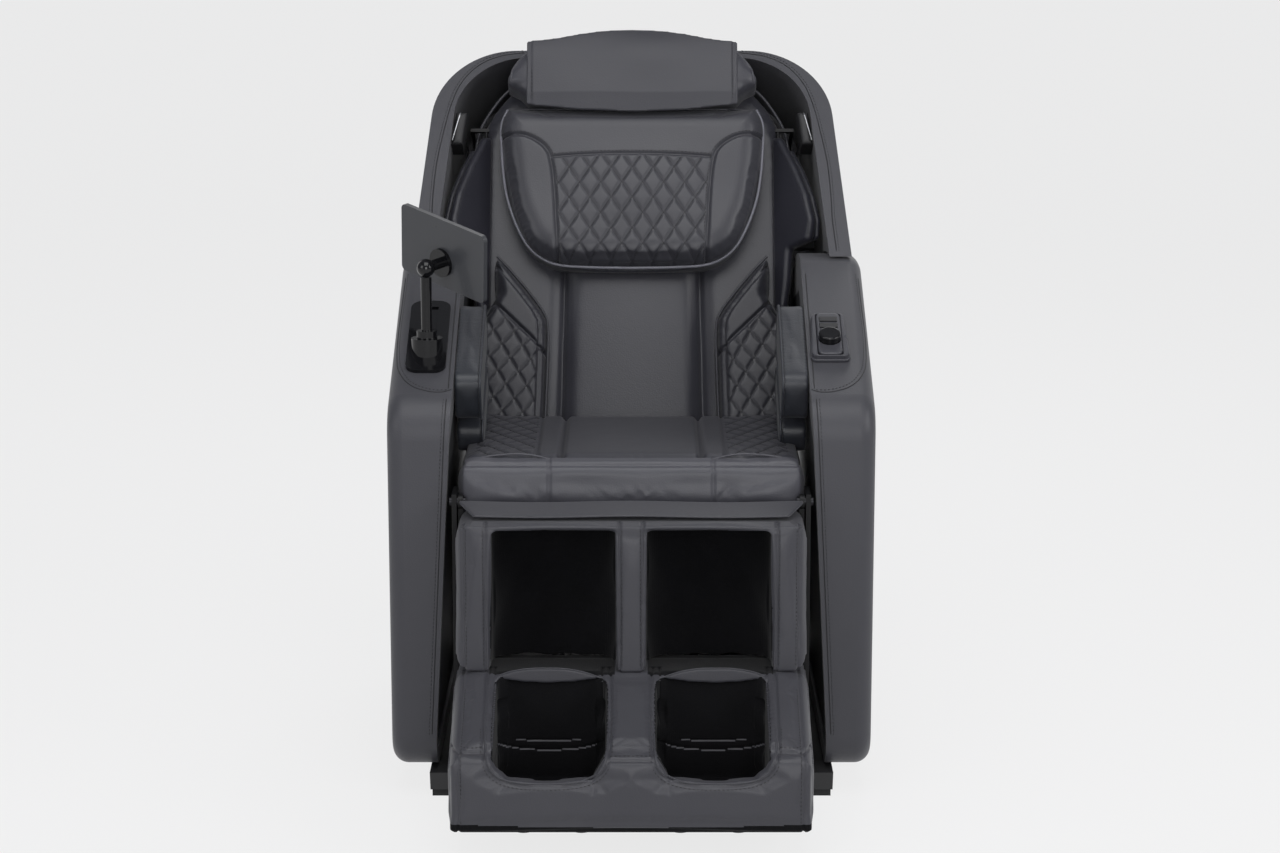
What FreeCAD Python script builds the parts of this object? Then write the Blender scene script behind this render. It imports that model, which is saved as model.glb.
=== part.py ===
import FreeCAD, Part
import math
import os
import re
import Sketcher
from FreeCAD import Placement, Rotation, Vector

# A reclining body-massage chair: two leather-wrapped arms, a back with a hood
# that leans between them, a seat, and a leg rest whose foot section slides out.
# X is the viewer's right, Y the rear and Z up. The origin is on the floor,
# under the middle of the chair. The back is drawn upright about its hinge,
# with X across, Y to the rear and Z up the back, and then leant back.

os.makedirs("parts", exist_ok=True)
document = FreeCAD.newDocument("MassageChair")
sheet = document.addObject("Spreadsheet::Sheet", "Sizes")

SIZES = {
    # arms
    "chair_half_width": 395,
    "arm_front": -298,
    "arm_rear": 494,
    "arm_bottom": 45,
    "arm_slope": 25,
    "slope_meets_arc": 30,
    "arm_inner_top": 290,
    "arm_inner_foot": 320,
    "arm_inner_foot_height": 100,
    "arm_outer_round": 26,
    "arm_corner_round": 60,
    "arm_nose_round": 75,
    "arm_wall": 30,
    "arm_pad_thickness": 46,
    "arm_pad_upper_y": -98,
    "arm_pad_upper_middle": 695,
    "arm_pad_upper_length": 230,
    "arm_pad_upper_height": 88,
    "arm_pad_lower_y": -60,
    "arm_pad_lower_middle": 607,
    "arm_pad_lower_length": 190,
    "arm_pad_lower_height": 58,
    "lining_thickness": 30,
    # back hinge and hood
    "back_hinge_y": 132,
    "back_hinge_height": 450,
    "back_lean": 26,
    "arm_arc_radius": 388,
    "hood_running_gap": 4,
    "hood_half_base": 387,
    "hood_half_top": 344,
    "hood_base": 300,
    "hood_top": 764,
    "hood_corner": 150,
    "hood_rim": 38,
    "hood_rim_top": 15,
    "hood_inner_corner": 130,
    "hood_rear": 250,
    "hood_rear_top": 150,
    "hood_shoulder_height": 560,
    "hood_rear_round": 44,
    "hood_wall": 30,
    "hood_front_base": 209,
    "hood_front_top": 74,
    "hood_spare": 60,
    "hood_reach": 260,
    # back frame and massage mechanism
    "back_frame_half": 240,
    "frame_bar": 25,
    "lug_thickness": 8,
    "lug_inner": 262,
    "back_pin_radius": 12,
    "pin_clearance": 0.1,
    "rail_inner": 160,
    "rail_outer": 200,
    "rail_bottom": 60,
    "rail_top": 600,
    "carriage_bottom": 180,
    "carriage_height": 120,
    "slide_clearance": 0.3,
    "screw_radius": 8,
    "screw_depth": 112,
    "knead_shaft_radius": 8,
    "knead_shaft_depth": 65,
    "knead_roller_radius": 19,
    "knead_roller_reach": 52,
    "cover_half_width": 270,
    "cover_depth": 182,
    "cover_wall": 5,
    "cover_rim": 34,
    "frame_depth": 60,
    "bracket_front": 46,
    "bracket_weld": 10,
    "wing_eye_wall": 2,
    "wing_finger_front": 3.5,
    "wing_arm_gap": 2,
    "wing_arm_bar": 6,
    "upright_foot": -25,
    "lug_reach": 22,
    "lug_drop": 2,
    "foot_bar_bottom": 20,
    "foot_bar_top": 50,
    "head_bar_lift": 10,
    "head_bar_height": 30,
    "hood_bar_bottom": 430,
    "hood_bar_height": 40,
    "screw_foot": 30,
    "screw_head_drop": 10,
    "screw_block_half": 20,
    "rail_bracket_height": 30,
    "nut_reach": 14,
    "cover_bracket_low": 100,
    "cover_bracket_high": 400,
    "cover_bracket_height": 20,
    "cover_rear_wall": 11,
    "rail_front": 30,
    "rail_web": 10,
    "slot_front": 38,
    "slot_rear": 52,
    "carriage_half_inner": 110,
    "carriage_side_gap": 6,
    "carriage_depth": 92,
    "shoe_inset": 6,
    "shoe_height": 30,
    "bridge_thickness": 6,
    "nut_half": 18,
    "nut_inset": 40,
    "knead_hub_wall": 8,
    "knead_hub_x": 46,
    "knead_hub_length": 30,
    "knead_web_x": 56,
    "knead_web_front": 26,
    "roller_pin_radius": 5,
    "roller_depth": 34,
    "roller_width": 10,
    "cover_front": 125,
    "cover_foot": 20,
    "cover_top_drop": 80,
    "cover_corner": 35,
    "cushion_slope": 102,
    "channel_length": 560,
    "channel_radius": 7,
    # back cushions
    "cushion_front": 42,
    "cushion_thickness": 46,
    "cushion_bottom": 17,
    "cushion_top": 722,
    "cushion_half_width": 281,
    "cushion_top_half": 188,
    "channel_offset": 118,
    "bolster_thickness": 62,
    "soft_gap": 0.3,
    "wing_thickness": 18,
    "wing_hinge_x": 262,
    "wing_back": 10.5,
    "wing_pin_radius": 3,
    "wing_pin_reach": 8,
    "wing_pin_depth": 7,
    "wing_pin_low": 258,
    "wing_pin_high": 616,
    "pod_bottom": 574,
    "pod_height": 60,
    "pod_thickness": 20,
    "pod_depth": 58,
    "pod_front": 112,
    "pillow_half_width": 228,
    "pillow_foot_half": 146,
    "pillow_bottom": 345,
    "pillow_top": 643,
    "pillow_thickness": 74,
    "head_half_width": 224,
    "head_crest": 786,
    "flap_half_width": 187,
    "flap_thickness": 5,
    # seat
    "seat_half_width": 278,
    "seat_front": -296,
    "seat_seam_x": 138,
    "seat_roll_top": 568,
    "seat_roll_bottom": 509,
    "seat_rear": 90,
    "seat_rear_height": 470,
    "pan_top": 450,
    "pan_thickness": 10,
    "seat_dip": 12,
    "seat_hollow": 40,
    # base
    "foot_pad_height": 12,
    "rail_inner_edge": 285,
    "rail_outer_edge": 332,
    "chassis_half": 290,
    "chassis_bar": 40,
    "cheek_inner": 281,
    "tray_thickness": 5,
    "wheel_radius": 36,
    "wheel_width": 20,
    "wheel_centre_y": 450,
    "axle_radius": 7,
    "weld_overlap": 1,
    "rail_front_setback": 30,
    "rail_rear_setback": 24,
    "front_cheek_reach": 12,
    "front_cheek_depth": 48,
    "front_cheek_rise": 14,
    "rear_cheek_reach": 40,
    "rear_cheek_rise": 26,
    "seat_rail_width": 36,
    "seat_rail_height": 25,
    "pan_setback": 36,
    "pan_side_gap": 3,
    "pan_corner": 30,
    "hanger_thickness": 12,
    "hanger_half_length": 15,
    "hanger_drop": 10,
    "front_rail_offset": 40,
    "middle_rail_offset": 30,
    "rear_rail_offset": 130,
    "tray_front_offset": 60,
    "tray_rear_offset": 90,
    "pin_overhang": 4,
    "skirt_setback": 8,
    "skirt_wall": 6,
    "trough_inset": 60,
    "front_foot_offset": 12,
    "rear_foot_offset": 110,
    "rubber_length": 60,
    "rubber_inset": 3,
    "wheel_lift": 6,
    "wheel_side_gap": 4,
    "wheel_round": 5,
    # machines in the base
    "pump_right": -50,
    "pump_width": 150,
    "pump_setback": 120,
    "pump_length": 160,
    "pump_height": 95,
    "pump_corner": 18,
    "pump_head_inset": 55,
    "pump_head_radius": 22,
    "pump_head_height": 20,
    "power_left": 60,
    "power_width": 145,
    "power_offset": 160,
    "power_setback": 4,
    "power_height": 70,
    "inlet_offset": 52,
    "inlet_width": 28,
    "inlet_lift": 24,
    "inlet_height": 20,
    "inlet_depth": 18,
    "actuator_radius": 20,
    "actuator_length": 230,
    "actuator_lift": 34,
    "motor_radius": 26,
    "motor_length": 92,
    "push_rod_radius": 11,
    "push_rod_length": 60,
    "cradle_half": 18,
    "cradle_inset": 10,
    "cradle_length": 190,
    "recline_x": 10,
    "recline_start": 170,
    "recline_motor": 190,
    "leg_drive_x": 150,
    "leg_drive_start": 90,
    "leg_drive_motor": 230,
    "cover_drop": 100,
    # leg rest
    "leg_hinge_y": -308,
    "leg_hinge_height": 505,
    "leg_pin_radius": 8,
    "leg_lug_inner": 271,
    "calf_half_width": 277,
    "calf_front": -428,
    "calf_rear": -313,
    "calf_bottom": 256,
    "calf_top": 494,
    "divider_half": 22.5,
    "outer_band": 54,
    "well_floor": 17,
    "calf_top_bar": 7,
    "well_round": 55,
    "apron_thickness": 11,
    "foot_half_width": 279.5,
    "foot_front": -618,
    "foot_rear": -318,
    "foot_bottom": 45,
    "foot_top": 252,
    "foot_lip": 167,
    "foot_dip": 138,
    "foot_well_front": -596,
    "foot_well_rear": -430,
    "foot_well_bottom": 75,
    "foot_divider_half": 37,
    "foot_outer_band": 64,
    "foot_corner_round": 26,
    "guide_offset": 120,
    "guide_centre_y": -292,
    "rod_radius": 10,
    "rod_clearance": 0.1,
    "guide_wall": 3,
    "leg_lug_lift": 40,
    "leg_lug_depth": 19,
    "leg_eye_wall": 4,
    "guide_lift": 14,
    "guide_length": 200,
    "leg_plate_low": 30,
    "leg_plate_high": 180,
    "calf_corner": 16,
    "apron_inset": 8,
    "apron_flare": 3,
    "apron_setback": 14,
    "apron_depth": 40,
    "foot_dip_inset": 20,
    "foot_well_round": 30,
    "rod_lift": 40,
    "rod_reach": 160,
    # controls on the arms
    "control_y": -118,
    "control_x": 337,
    "post_y": -148,
    "post_radius": 9,
    "plate_thickness": 6,
    "knuckle_height": 860,
    "knuckle_radius": 15,
    "tablet_yaw": 45,
    "tablet_tilt": 9,
    "tablet_roll": 11,
    "tablet_width": 200,
    "tablet_height": 118,
    "tablet_thickness": 8,
    "tablet_offset": 40,
    "case_width": 66,
    "case_length": 116,
    "case_height": 15,
    "knob_radius": 18,
    "knob_height": 15,
    "button_travel": 1.5,
    "plate_front": 60,
    "plate_rear": 140,
    "plate_corner": 20,
    "plate_slot_half": 13,
    "plate_slot_start": 44,
    "plate_slot_end": 122,
    "plate_slot_depth": 3,
    "post_lift": 18,
    "post_collar_wall": 8,
    "post_collar_height": 12,
    "post_socket_wall": 17,
    "post_socket_height": 60,
    "knuckle_neck_radius": 9,
    "flange_radius": 24,
    "flange_thickness": 6,
    "tablet_lift": 16,
    "tablet_corner": 9,
    "screen_rim": 4,
    "screen_recess": 1.5,
    "remote_inset": 13,
    "remote_shift": 10,
    "case_corner": 10,
    "case_edge": 2.5,
    "knob_offset": 16,
    "knob_well": 3,
    "knob_edge": 3,
    "key_start": 14,
    "key_pitch": 18,
    "key_well_half": 15,
    "key_well_height": 13,
    "key_well_depth": 4,
    "key_gap": 0.5,
    "key_height": 4,
}

for row, (alias, number) in enumerate(SIZES.items(), start=1):
    sheet.set(f"A{row}", alias)
    sheet.set(f"B{row}", str(number))
    sheet.setAlias(f"B{row}", alias)
document.recompute()

ALIAS = re.compile(r"[a-z][a-z_]+")
ACROSS = Vector(1, 0, 0)
TO_REAR = Vector(0, 1, 0)
UP = Vector(0, 0, 1)
finished = []


def bound(expression):
    """The expression with each size name pointed at the sheet."""
    return ALIAS.sub(lambda name: "Sizes." + name[0] if name[0] in SIZES else name[0], str(expression))


def mm(expression):
    """The present value of a sheet expression."""
    return float(sheet.evalExpression(bound(expression)))


def finish(thing, label):
    """Keep an object as a sub-part under its own name."""
    thing.Label = label
    finished.append(thing)
    return thing


def place(thing, x="0", y="0", z="0", axis=None, angle="0"):
    """Put an object at sheet-driven coordinates, turned about an axis."""
    if axis is not None:
        thing.Placement = Placement(Vector(mm(x), mm(y), mm(z)), Rotation(axis, mm(angle)))
        thing.setExpression("Placement.Rotation.Angle", bound(angle))
    thing.setExpression("Placement.Base.x", bound(x))
    thing.setExpression("Placement.Base.y", bound(y))
    thing.setExpression("Placement.Base.z", bound(z))
    return thing


def lean_back(thing):
    """Lean something drawn upright back with the chair's back."""
    return place(thing, "0", "back_hinge_y", "back_hinge_height", -ACROSS, "back_lean")


def new_body(name):
    return document.addObject("PartDesign::Body", name)


def origin_plane(body, role):
    return next(plane for plane in body.Origin.OriginFeatures if plane.Role == role)


def new_sketch(body, role, offset="0"):
    """A sketch on one of the body's own planes, moved along its normal."""
    sketch = body.newObject("Sketcher::SketchObject", "Outline")
    sketch.AttachmentSupport = (origin_plane(body, role), [""])
    sketch.MapMode = "FlatFace"
    sketch.setExpression("AttachmentOffset.Base.z", bound(offset))
    return sketch


def polygon(body, role, corners, offset="0"):
    """A closed sketch of straight lines whose corners are sheet expressions."""
    sketch = new_sketch(body, role, offset)
    points = [Vector(mm(a), mm(b), 0) for a, b in corners]
    count = len(points)
    for index in range(count):
        sketch.addGeometry(Part.LineSegment(points[index], points[(index + 1) % count]), False)
    for index in range(count):
        sketch.addConstraint(Sketcher.Constraint("Coincident", index, 2, (index + 1) % count, 1))
    for index, corner in enumerate(corners):
        for kind, expression in zip(("DistanceX", "DistanceY"), corner):
            number = sketch.addConstraint(Sketcher.Constraint(kind, -1, 1, index, 1, mm(expression)))
            sketch.setExpression(f"Constraints[{number}]", bound(expression))
    return sketch


def disc(body, role, a, b, radius, offset="0"):
    """A sketch of one circle."""
    sketch = new_sketch(body, role, offset)
    sketch.addGeometry(Part.Circle(Vector(mm(a), mm(b), 0), UP, mm(radius)), False)
    for kind, expression in (("DistanceX", a), ("DistanceY", b)):
        number = sketch.addConstraint(Sketcher.Constraint(kind, -1, 1, 0, 3, mm(expression)))
        sketch.setExpression(f"Constraints[{number}]", bound(expression))
    number = sketch.addConstraint(Sketcher.Constraint("Radius", 0, mm(radius)))
    sketch.setExpression(f"Constraints[{number}]", bound(radius))
    return sketch


def pad(body, sketch, length, symmetric=False, backward=False):
    feature = body.newObject("PartDesign::Pad", "Pad")
    feature.Profile = sketch
    feature.SideType = "Symmetric" if symmetric else "One side"
    feature.Reversed = backward
    feature.setExpression("Length", bound(length))
    document.recompute()
    return feature


def pocket(body, sketch, length=None, symmetric=False, backward=False):
    """Cut a sketch out of the body: through everything where no length is given."""
    before = body.Shape.Volume
    feature = body.newObject("PartDesign::Pocket", "Pocket")
    feature.Profile = sketch
    feature.SideType = "Symmetric" if symmetric else "One side"
    feature.Reversed = backward
    if length is None:
        feature.Type = "ThroughAll"
    else:
        feature.setExpression("Length", bound(length))
    document.recompute()
    assert body.Shape.Volume < before - 1, body.Name + " has a pocket that cuts nothing"
    return feature


def round_edges(body, radius, wanted):
    """Round every edge of the body that the test picks."""
    base = body.Tip
    names = [f"Edge{n}" for n, edge in enumerate(base.Shape.Edges, start=1) if wanted(edge)]
    assert names, body.Name + " has no edge to round"
    feature = body.newObject("PartDesign::Fillet", "Round")
    feature.Base = (base, names)
    feature.setExpression("Radius", bound(radius))
    document.recompute()
    return feature


def runs_along(edge, direction):
    """True for a straight edge along the direction."""
    if len(edge.Vertexes) < 2:
        return False
    span = edge.Vertexes[-1].Point - edge.Vertexes[0].Point
    return abs(abs(span.dot(direction)) - edge.Length) < 1e-3


def lies_at(edge, x=None, y=None, z=None, reach=0.5):
    """True where the edge's whole length keeps to the given coordinates."""
    box = edge.BoundBox
    pairs = ((x, box.XMin, box.XMax), (y, box.YMin, box.YMax), (z, box.ZMin, box.ZMax))
    return all(at is None or (abs(low - at) < reach and abs(high - at) < reach) for at, low, high in pairs)


def bar(name, low, high):
    """A box between two corners."""
    thing = document.addObject("Part::Box", name)
    for side, start, end in zip(("Length", "Width", "Height"), low, high):
        thing.setExpression(side, bound(f"({end}) - ({start})"))
    return place(thing, *low)


def rod(name, radius, start, length, axis=UP):
    """A cylinder from a start point along X, Y or Z."""
    thing = document.addObject("Part::Cylinder", name)
    thing.setExpression("Radius", bound(radius))
    thing.setExpression("Height", bound(length))
    turn = {"x": (TO_REAR, "90"), "y": (ACROSS, "-90"), "z": (UP, "0")}
    letter = "x" if axis == ACROSS else "y" if axis == TO_REAR else "z"
    return place(thing, *start, *turn[letter])


def fused(name, things):
    made = document.addObject("Part::MultiFuse", name)
    made.Shapes = things
    made.Refine = True
    return made


def cut(name, base, tool):
    made = document.addObject("Part::Cut", name)
    made.Base = base
    made.Tool = tool
    made.Refine = True
    return made


def together(name, things):
    """Like pieces that stay separate solids in one sub-part."""
    made = document.addObject("Part::Compound", name)
    made.Links = things
    return made


def mirrored(name, source):
    """The same piece for the other side of the chair."""
    made = document.addObject("Part::Mirroring", name)
    made.Source = source
    made.Normal = ACROSS
    return made


def both_sides(stem, source):
    """Keep a right-hand piece and make its left-hand twin."""
    finish(source, stem + "_r")
    finish(mirrored(stem + "_mirror", source), stem + "_l")


def on_both_sides(near, far):
    """The same span on the right of the middle, and on the left."""
    return (near, far), (f"-({far})", f"-({near})")


def rectangle(low, high):
    """The four corners of an upright rectangle."""
    return [low, (high[0], low[1]), high, (low[0], high[1])]


# Soft shapes

def rounded_wire(corners, radii, inset, level):
    """A polygon moved inwards, its corners rounded, at a height above the sketch plane."""
    count = len(corners)
    lines = []
    for index in range(count):
        start = Vector(*corners[index], 0)
        run = (Vector(*corners[(index + 1) % count], 0) - start).normalize()
        lines.append((start + Vector(-run.y, run.x, 0) * inset, run))
    moved = []
    for index in range(count):
        (first, first_run), (second, second_run) = lines[index - 1], lines[index]
        share = (second - first).cross(second_run).z / first_run.cross(second_run).z
        moved.append(first + first_run * share)
    edges = []
    joints = []
    for index in range(count):
        run_in, run_out = lines[index - 1][1], lines[index][1]
        convex = run_in.cross(run_out).z > 0
        radius = max(radii[index] - inset, 2) if convex else radii[index] + inset
        half_turn = run_in.getAngle(run_out) / 2
        back = radius * math.tan(half_turn)
        inner = (run_out - run_in).normalize()
        middle = moved[index] + inner * (radius / math.cos(half_turn) - radius)
        joints.append((moved[index] - run_in * back, middle, moved[index] + run_out * back))
    lift = Vector(0, 0, level)
    for index in range(count):
        start, middle, end = joints[index]
        edges.append(Part.Arc(start + lift, middle + lift, end + lift).toShape())
        edges.append(Part.LineSegment(end + lift, joints[(index + 1) % count][0] + lift).toShape())
    return Part.Wire(edges)


def cushion_shape(corners, radii, thickness, crown=1.0):
    """A pad flat underneath, with sides drawn in and a crowned face."""
    steps = ((0.0, 7.0), (0.35, 0.0), (0.68, 2.5 * crown), (0.9, 13.0 * crown), (1.0, 32.0 * crown))
    wires = [rounded_wire(corners, radii, inset, thickness * share) for share, inset in steps]
    return Part.makeLoft(wires, True, False)


def shaped(name, shape, placement=None):
    """A piece that is made straight from a shape."""
    thing = document.addObject("Part::Feature", name)
    thing.Shape = shape
    if placement is not None:
        thing.Placement = placement
    return thing


BACK_HINGE = Vector(0, mm("back_hinge_y"), mm("back_hinge_height"))
BACK_PLACE = Placement(BACK_HINGE, Rotation(ACROSS, -mm("back_lean")))


def facing_front(depth, x=0.0, up=0.0):
    """A pad drawn flat, stood up on the leant back with its face to the front."""
    return BACK_PLACE * Placement(Vector(x, -depth, up), Rotation(ACROSS, 90))


def channel(length, radius):
    """A round cutter for a sewn channel, lying along Y."""
    return Part.makeCylinder(radius, length, Vector(0, 0, 0), TO_REAR)


# Arms: a moulded shell wrapped in leather, open inwards and closed by a lining

CORNER_Y = "(back_hinge_y - slope_meets_arc)"
CORNER_Z = "(back_hinge_height + sqrt(arm_arc_radius ^ 2 - slope_meets_arc ^ 2))"
NOSE_Z = f"({CORNER_Z} - ({CORNER_Y} - arm_front) * tan(arm_slope))"


def arm_top(y):
    """Height of the arm's sloping top at a place along it."""
    return f"({NOSE_Z} + (({y}) - arm_front) * tan(arm_slope))"


def arm_outline(body):
    """Side view of the arm: nose, sloping top, and a rear rounded about the back's hinge."""
    rear_drop = "sqrt(arm_arc_radius ^ 2 - (arm_rear - back_hinge_y) ^ 2)"
    sketch = new_sketch(body, "YZ_Plane", "arm_inner_top")
    corners = [
        ("arm_front", "arm_bottom"),
        ("arm_rear", "arm_bottom"),
        ("arm_rear", f"back_hinge_height - {rear_drop}"),
        (CORNER_Y, CORNER_Z),
        ("arm_front", NOSE_Z),
    ]
    points = [Vector(mm(a), mm(b), 0) for a, b in corners]
    centre = Vector(mm("back_hinge_y"), mm("back_hinge_height"), 0)
    start_angle = math.atan2(points[2].y - centre.y, points[2].x - centre.x)
    end_angle = math.atan2(points[3].y - centre.y, points[3].x - centre.x)
    circle = Part.Circle(centre, UP, mm("arm_arc_radius"))
    for index in range(5):
        if index == 2:
            sketch.addGeometry(Part.ArcOfCircle(circle, start_angle, end_angle), False)
        else:
            sketch.addGeometry(Part.LineSegment(points[index], points[(index + 1) % 5]), False)
    for index in range(5):
        sketch.addConstraint(Sketcher.Constraint("Coincident", index, 2, (index + 1) % 5, 1))
    driven = [(0, 1, "DistanceX", "arm_front"), (0, 1, "DistanceY", "arm_bottom")]
    driven += [(1, 1, "DistanceX", "arm_rear"), (1, 1, "DistanceY", "arm_bottom")]
    driven += [(2, 1, "DistanceX", "arm_rear"), (3, 1, "DistanceX", CORNER_Y)]
    driven += [(4, 1, "DistanceX", "arm_front"), (4, 1, "DistanceY", NOSE_Z)]
    driven += [(2, 3, "DistanceX", "back_hinge_y"), (2, 3, "DistanceY", "back_hinge_height")]
    for edge, end, kind, expression in driven:
        number = sketch.addConstraint(Sketcher.Constraint(kind, -1, 1, edge, end, mm(expression)))
        sketch.setExpression(f"Constraints[{number}]", bound(expression))
    number = sketch.addConstraint(Sketcher.Constraint("Radius", 2, mm("arm_arc_radius")))
    sketch.setExpression(f"Constraints[{number}]", bound("arm_arc_radius"))
    return sketch


def arm_inner_face(z):
    """How far the arm's inner face is from the middle at a height."""
    rise = f"(({NOSE_Z} + 30 - ({z})) / ({NOSE_Z} + 30 - arm_inner_foot_height))"
    return f"(arm_inner_top + (arm_inner_foot - arm_inner_top) * min(max({rise}; 0); 1))"


def slope_inner_face(body):
    """Cut the inner face back towards the floor."""
    corners = [
        ("arm_inner_top - 5", NOSE_Z + " + 30"),
        ("arm_inner_top", NOSE_Z + " + 30"),
        ("arm_inner_foot", "arm_inner_foot_height"),
        ("arm_inner_foot", "arm_bottom - 5"),
        ("arm_inner_top - 5", "arm_bottom - 5"),
    ]
    pocket(body, polygon(body, "XZ_Plane", corners), symmetric=True)


CAVITY = [
    ("arm_front + arm_wall", "arm_bottom + arm_wall"),
    ("arm_rear - arm_wall", "arm_bottom + arm_wall"),
    ("arm_rear - arm_wall", "back_hinge_height"),
    ("back_hinge_y + arm_arc_radius / 2", "back_hinge_height + arm_arc_radius * 0.72"),
    ("back_hinge_y", "back_hinge_height + arm_arc_radius - 2 * arm_wall"),
    ("arm_front + arm_wall", NOSE_Z + " - 2 * arm_wall"),
]


def make_arms():
    panel = new_body("side_panel")
    pad(panel, arm_outline(panel), "chair_half_width - arm_inner_top")
    nose = [(mm("arm_front"), mm(NOSE_Z), "arm_nose_round")]
    nose += [(mm("arm_front"), mm("arm_bottom"), "arm_corner_round")]
    nose += [(mm("arm_rear"), mm("arm_bottom"), "arm_corner_round")]
    nose += [(mm(CORNER_Y), mm(CORNER_Z), "arm_corner_round")]
    rear_arc_end = "back_hinge_height - sqrt(arm_arc_radius ^ 2 - (arm_rear - back_hinge_y) ^ 2)"
    nose += [(mm("arm_rear"), mm(rear_arc_end), "arm_corner_round")]
    for y, z, radius in nose:
        round_edges(panel, radius, lambda edge: runs_along(edge, ACROSS) and lies_at(edge, y=y, z=z))
    outer = mm("chair_half_width")
    round_edges(panel, "arm_outer_round", lambda edge: lies_at(edge, x=outer))
    slope_inner_face(panel)
    pocket(panel, polygon(panel, "YZ_Plane", CAVITY, "chair_half_width - arm_wall"))
    both_sides("side_panel", panel)

    lining = new_body("arm_lining")
    pad(lining, polygon(lining, "YZ_Plane", CAVITY, "arm_inner_top"), "lining_thickness")
    slope_inner_face(lining)
    both_sides("arm_lining", lining)


def make_arm_pads():
    """Two stacked air pads on the inside of each arm, along the slope of its top."""
    face = Rotation(ACROSS, mm("arm_slope")) * Rotation(-TO_REAR, UP, -ACROSS, "XYZ")
    for stem in ("upper", "lower"):
        half = mm(f"arm_pad_{stem}_length / 2")
        tall = mm(f"arm_pad_{stem}_height / 2")
        corners = [(-half, -tall), (half, -tall), (half, tall), (-half, tall)]
        shape = cushion_shape(corners, [22] * 4, mm("arm_pad_thickness"), 0.6)
        seat_x = mm(arm_inner_face(f"arm_pad_{stem}_middle + 52.5") + " - soft_gap")
        base = Vector(seat_x, mm(f"arm_pad_{stem}_y"), mm(f"arm_pad_{stem}_middle"))
        both_sides("arm_pad_" + stem, shaped("arm_pad", shape, Placement(base, face)))


# Base: a welded chassis on plastic skirts and rubber feet

AXLE_Z = "(wheel_radius + wheel_lift)"


def make_chassis():
    inner = "(chassis_half - chassis_bar)"
    top = "(arm_bottom + chassis_bar)"
    cheek_outer = "(cheek_inner + lug_thickness)"
    pan_bottom = "(pan_top - pan_thickness)"
    pieces = []
    for low, high in on_both_sides(inner, "chassis_half"):
        pieces.append(bar("side_rail", (low, "arm_front + rail_front_setback", "arm_bottom"),
                          (high, "arm_rear - rail_rear_setback", top)))
    for low, high in on_both_sides("cheek_inner", cheek_outer):
        pieces.append(bar("front_cheek", (low, "leg_hinge_y - front_cheek_reach", f"{top} - weld_overlap"),
                          (high, "leg_hinge_y + front_cheek_depth", "leg_hinge_height + front_cheek_rise")))
        pieces.append(bar("rear_cheek", (low, "back_hinge_y - rear_cheek_reach", f"{top} - weld_overlap"),
                          (high, "back_hinge_y + rear_cheek_reach", "back_hinge_height + rear_cheek_rise")))
    for low, high in on_both_sides("cheek_inner - seat_rail_width", "cheek_inner + weld_overlap"):
        pieces.append(bar("seat_rail", (low, "leg_hinge_y + pan_setback", f"{pan_bottom} - seat_rail_height"),
                          (high, "seat_rear", pan_bottom)))
    hanger_front, hanger_rear = "wheel_centre_y - hanger_half_length", "wheel_centre_y + hanger_half_length"
    for low, high in on_both_sides(inner, f"{inner} + hanger_thickness"):
        pieces.append(bar("axle_hanger", (low, hanger_front, "wheel_radius - hanger_drop"),
                          (high, hanger_rear, "arm_bottom + weld_overlap")))
    across = f"({inner} + weld_overlap)"
    for start in ("leg_hinge_y + front_rail_offset", "back_hinge_y - middle_rail_offset",
                  "arm_rear - rear_rail_offset"):
        pieces.append(bar("cross_rail", (f"-{across}", start, "arm_bottom"),
                          (across, f"{start} + chassis_bar", f"{top} - tray_thickness")))
    pieces.append(bar("tray", (f"-{across}", "leg_hinge_y + tray_front_offset", f"{top} - tray_thickness"),
                      (across, "arm_rear - tray_rear_offset", top)))
    holes = []
    for y, z, radius in (("leg_hinge_y", "leg_hinge_height", "leg_pin_radius"),
                         ("back_hinge_y", "back_hinge_height", "back_pin_radius")):
        holes.append(rod("pin_hole", f"{radius} + pin_clearance", ("-chair_half_width", y, z),
                         "2 * chair_half_width", ACROSS))
    reach = f"({inner} + chassis_bar / 2)"
    holes.append(rod("axle_hole", "axle_radius + pin_clearance", (f"-{reach}", "wheel_centre_y", AXLE_Z),
                     f"2 * {reach}", ACROSS))
    finish(cut("drilled_chassis", fused("chassis", pieces), together("pin_holes", holes)), "base_frame")


def make_pins():
    pins = []
    for y, z, radius, lug in (("leg_hinge_y", "leg_hinge_height", "leg_pin_radius", "leg_lug_inner"),
                              ("back_hinge_y", "back_hinge_height", "back_pin_radius", "lug_inner")):
        length = f"cheek_inner + lug_thickness + 2 * pin_overhang - {lug}"
        for start, _ in on_both_sides(f"{lug} - pin_overhang", "cheek_inner + lug_thickness + pin_overhang"):
            pins.append(rod("pin", radius, (start, y, z), length, ACROSS))
    finish(together("pins", pins), "hinge_pins")


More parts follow.
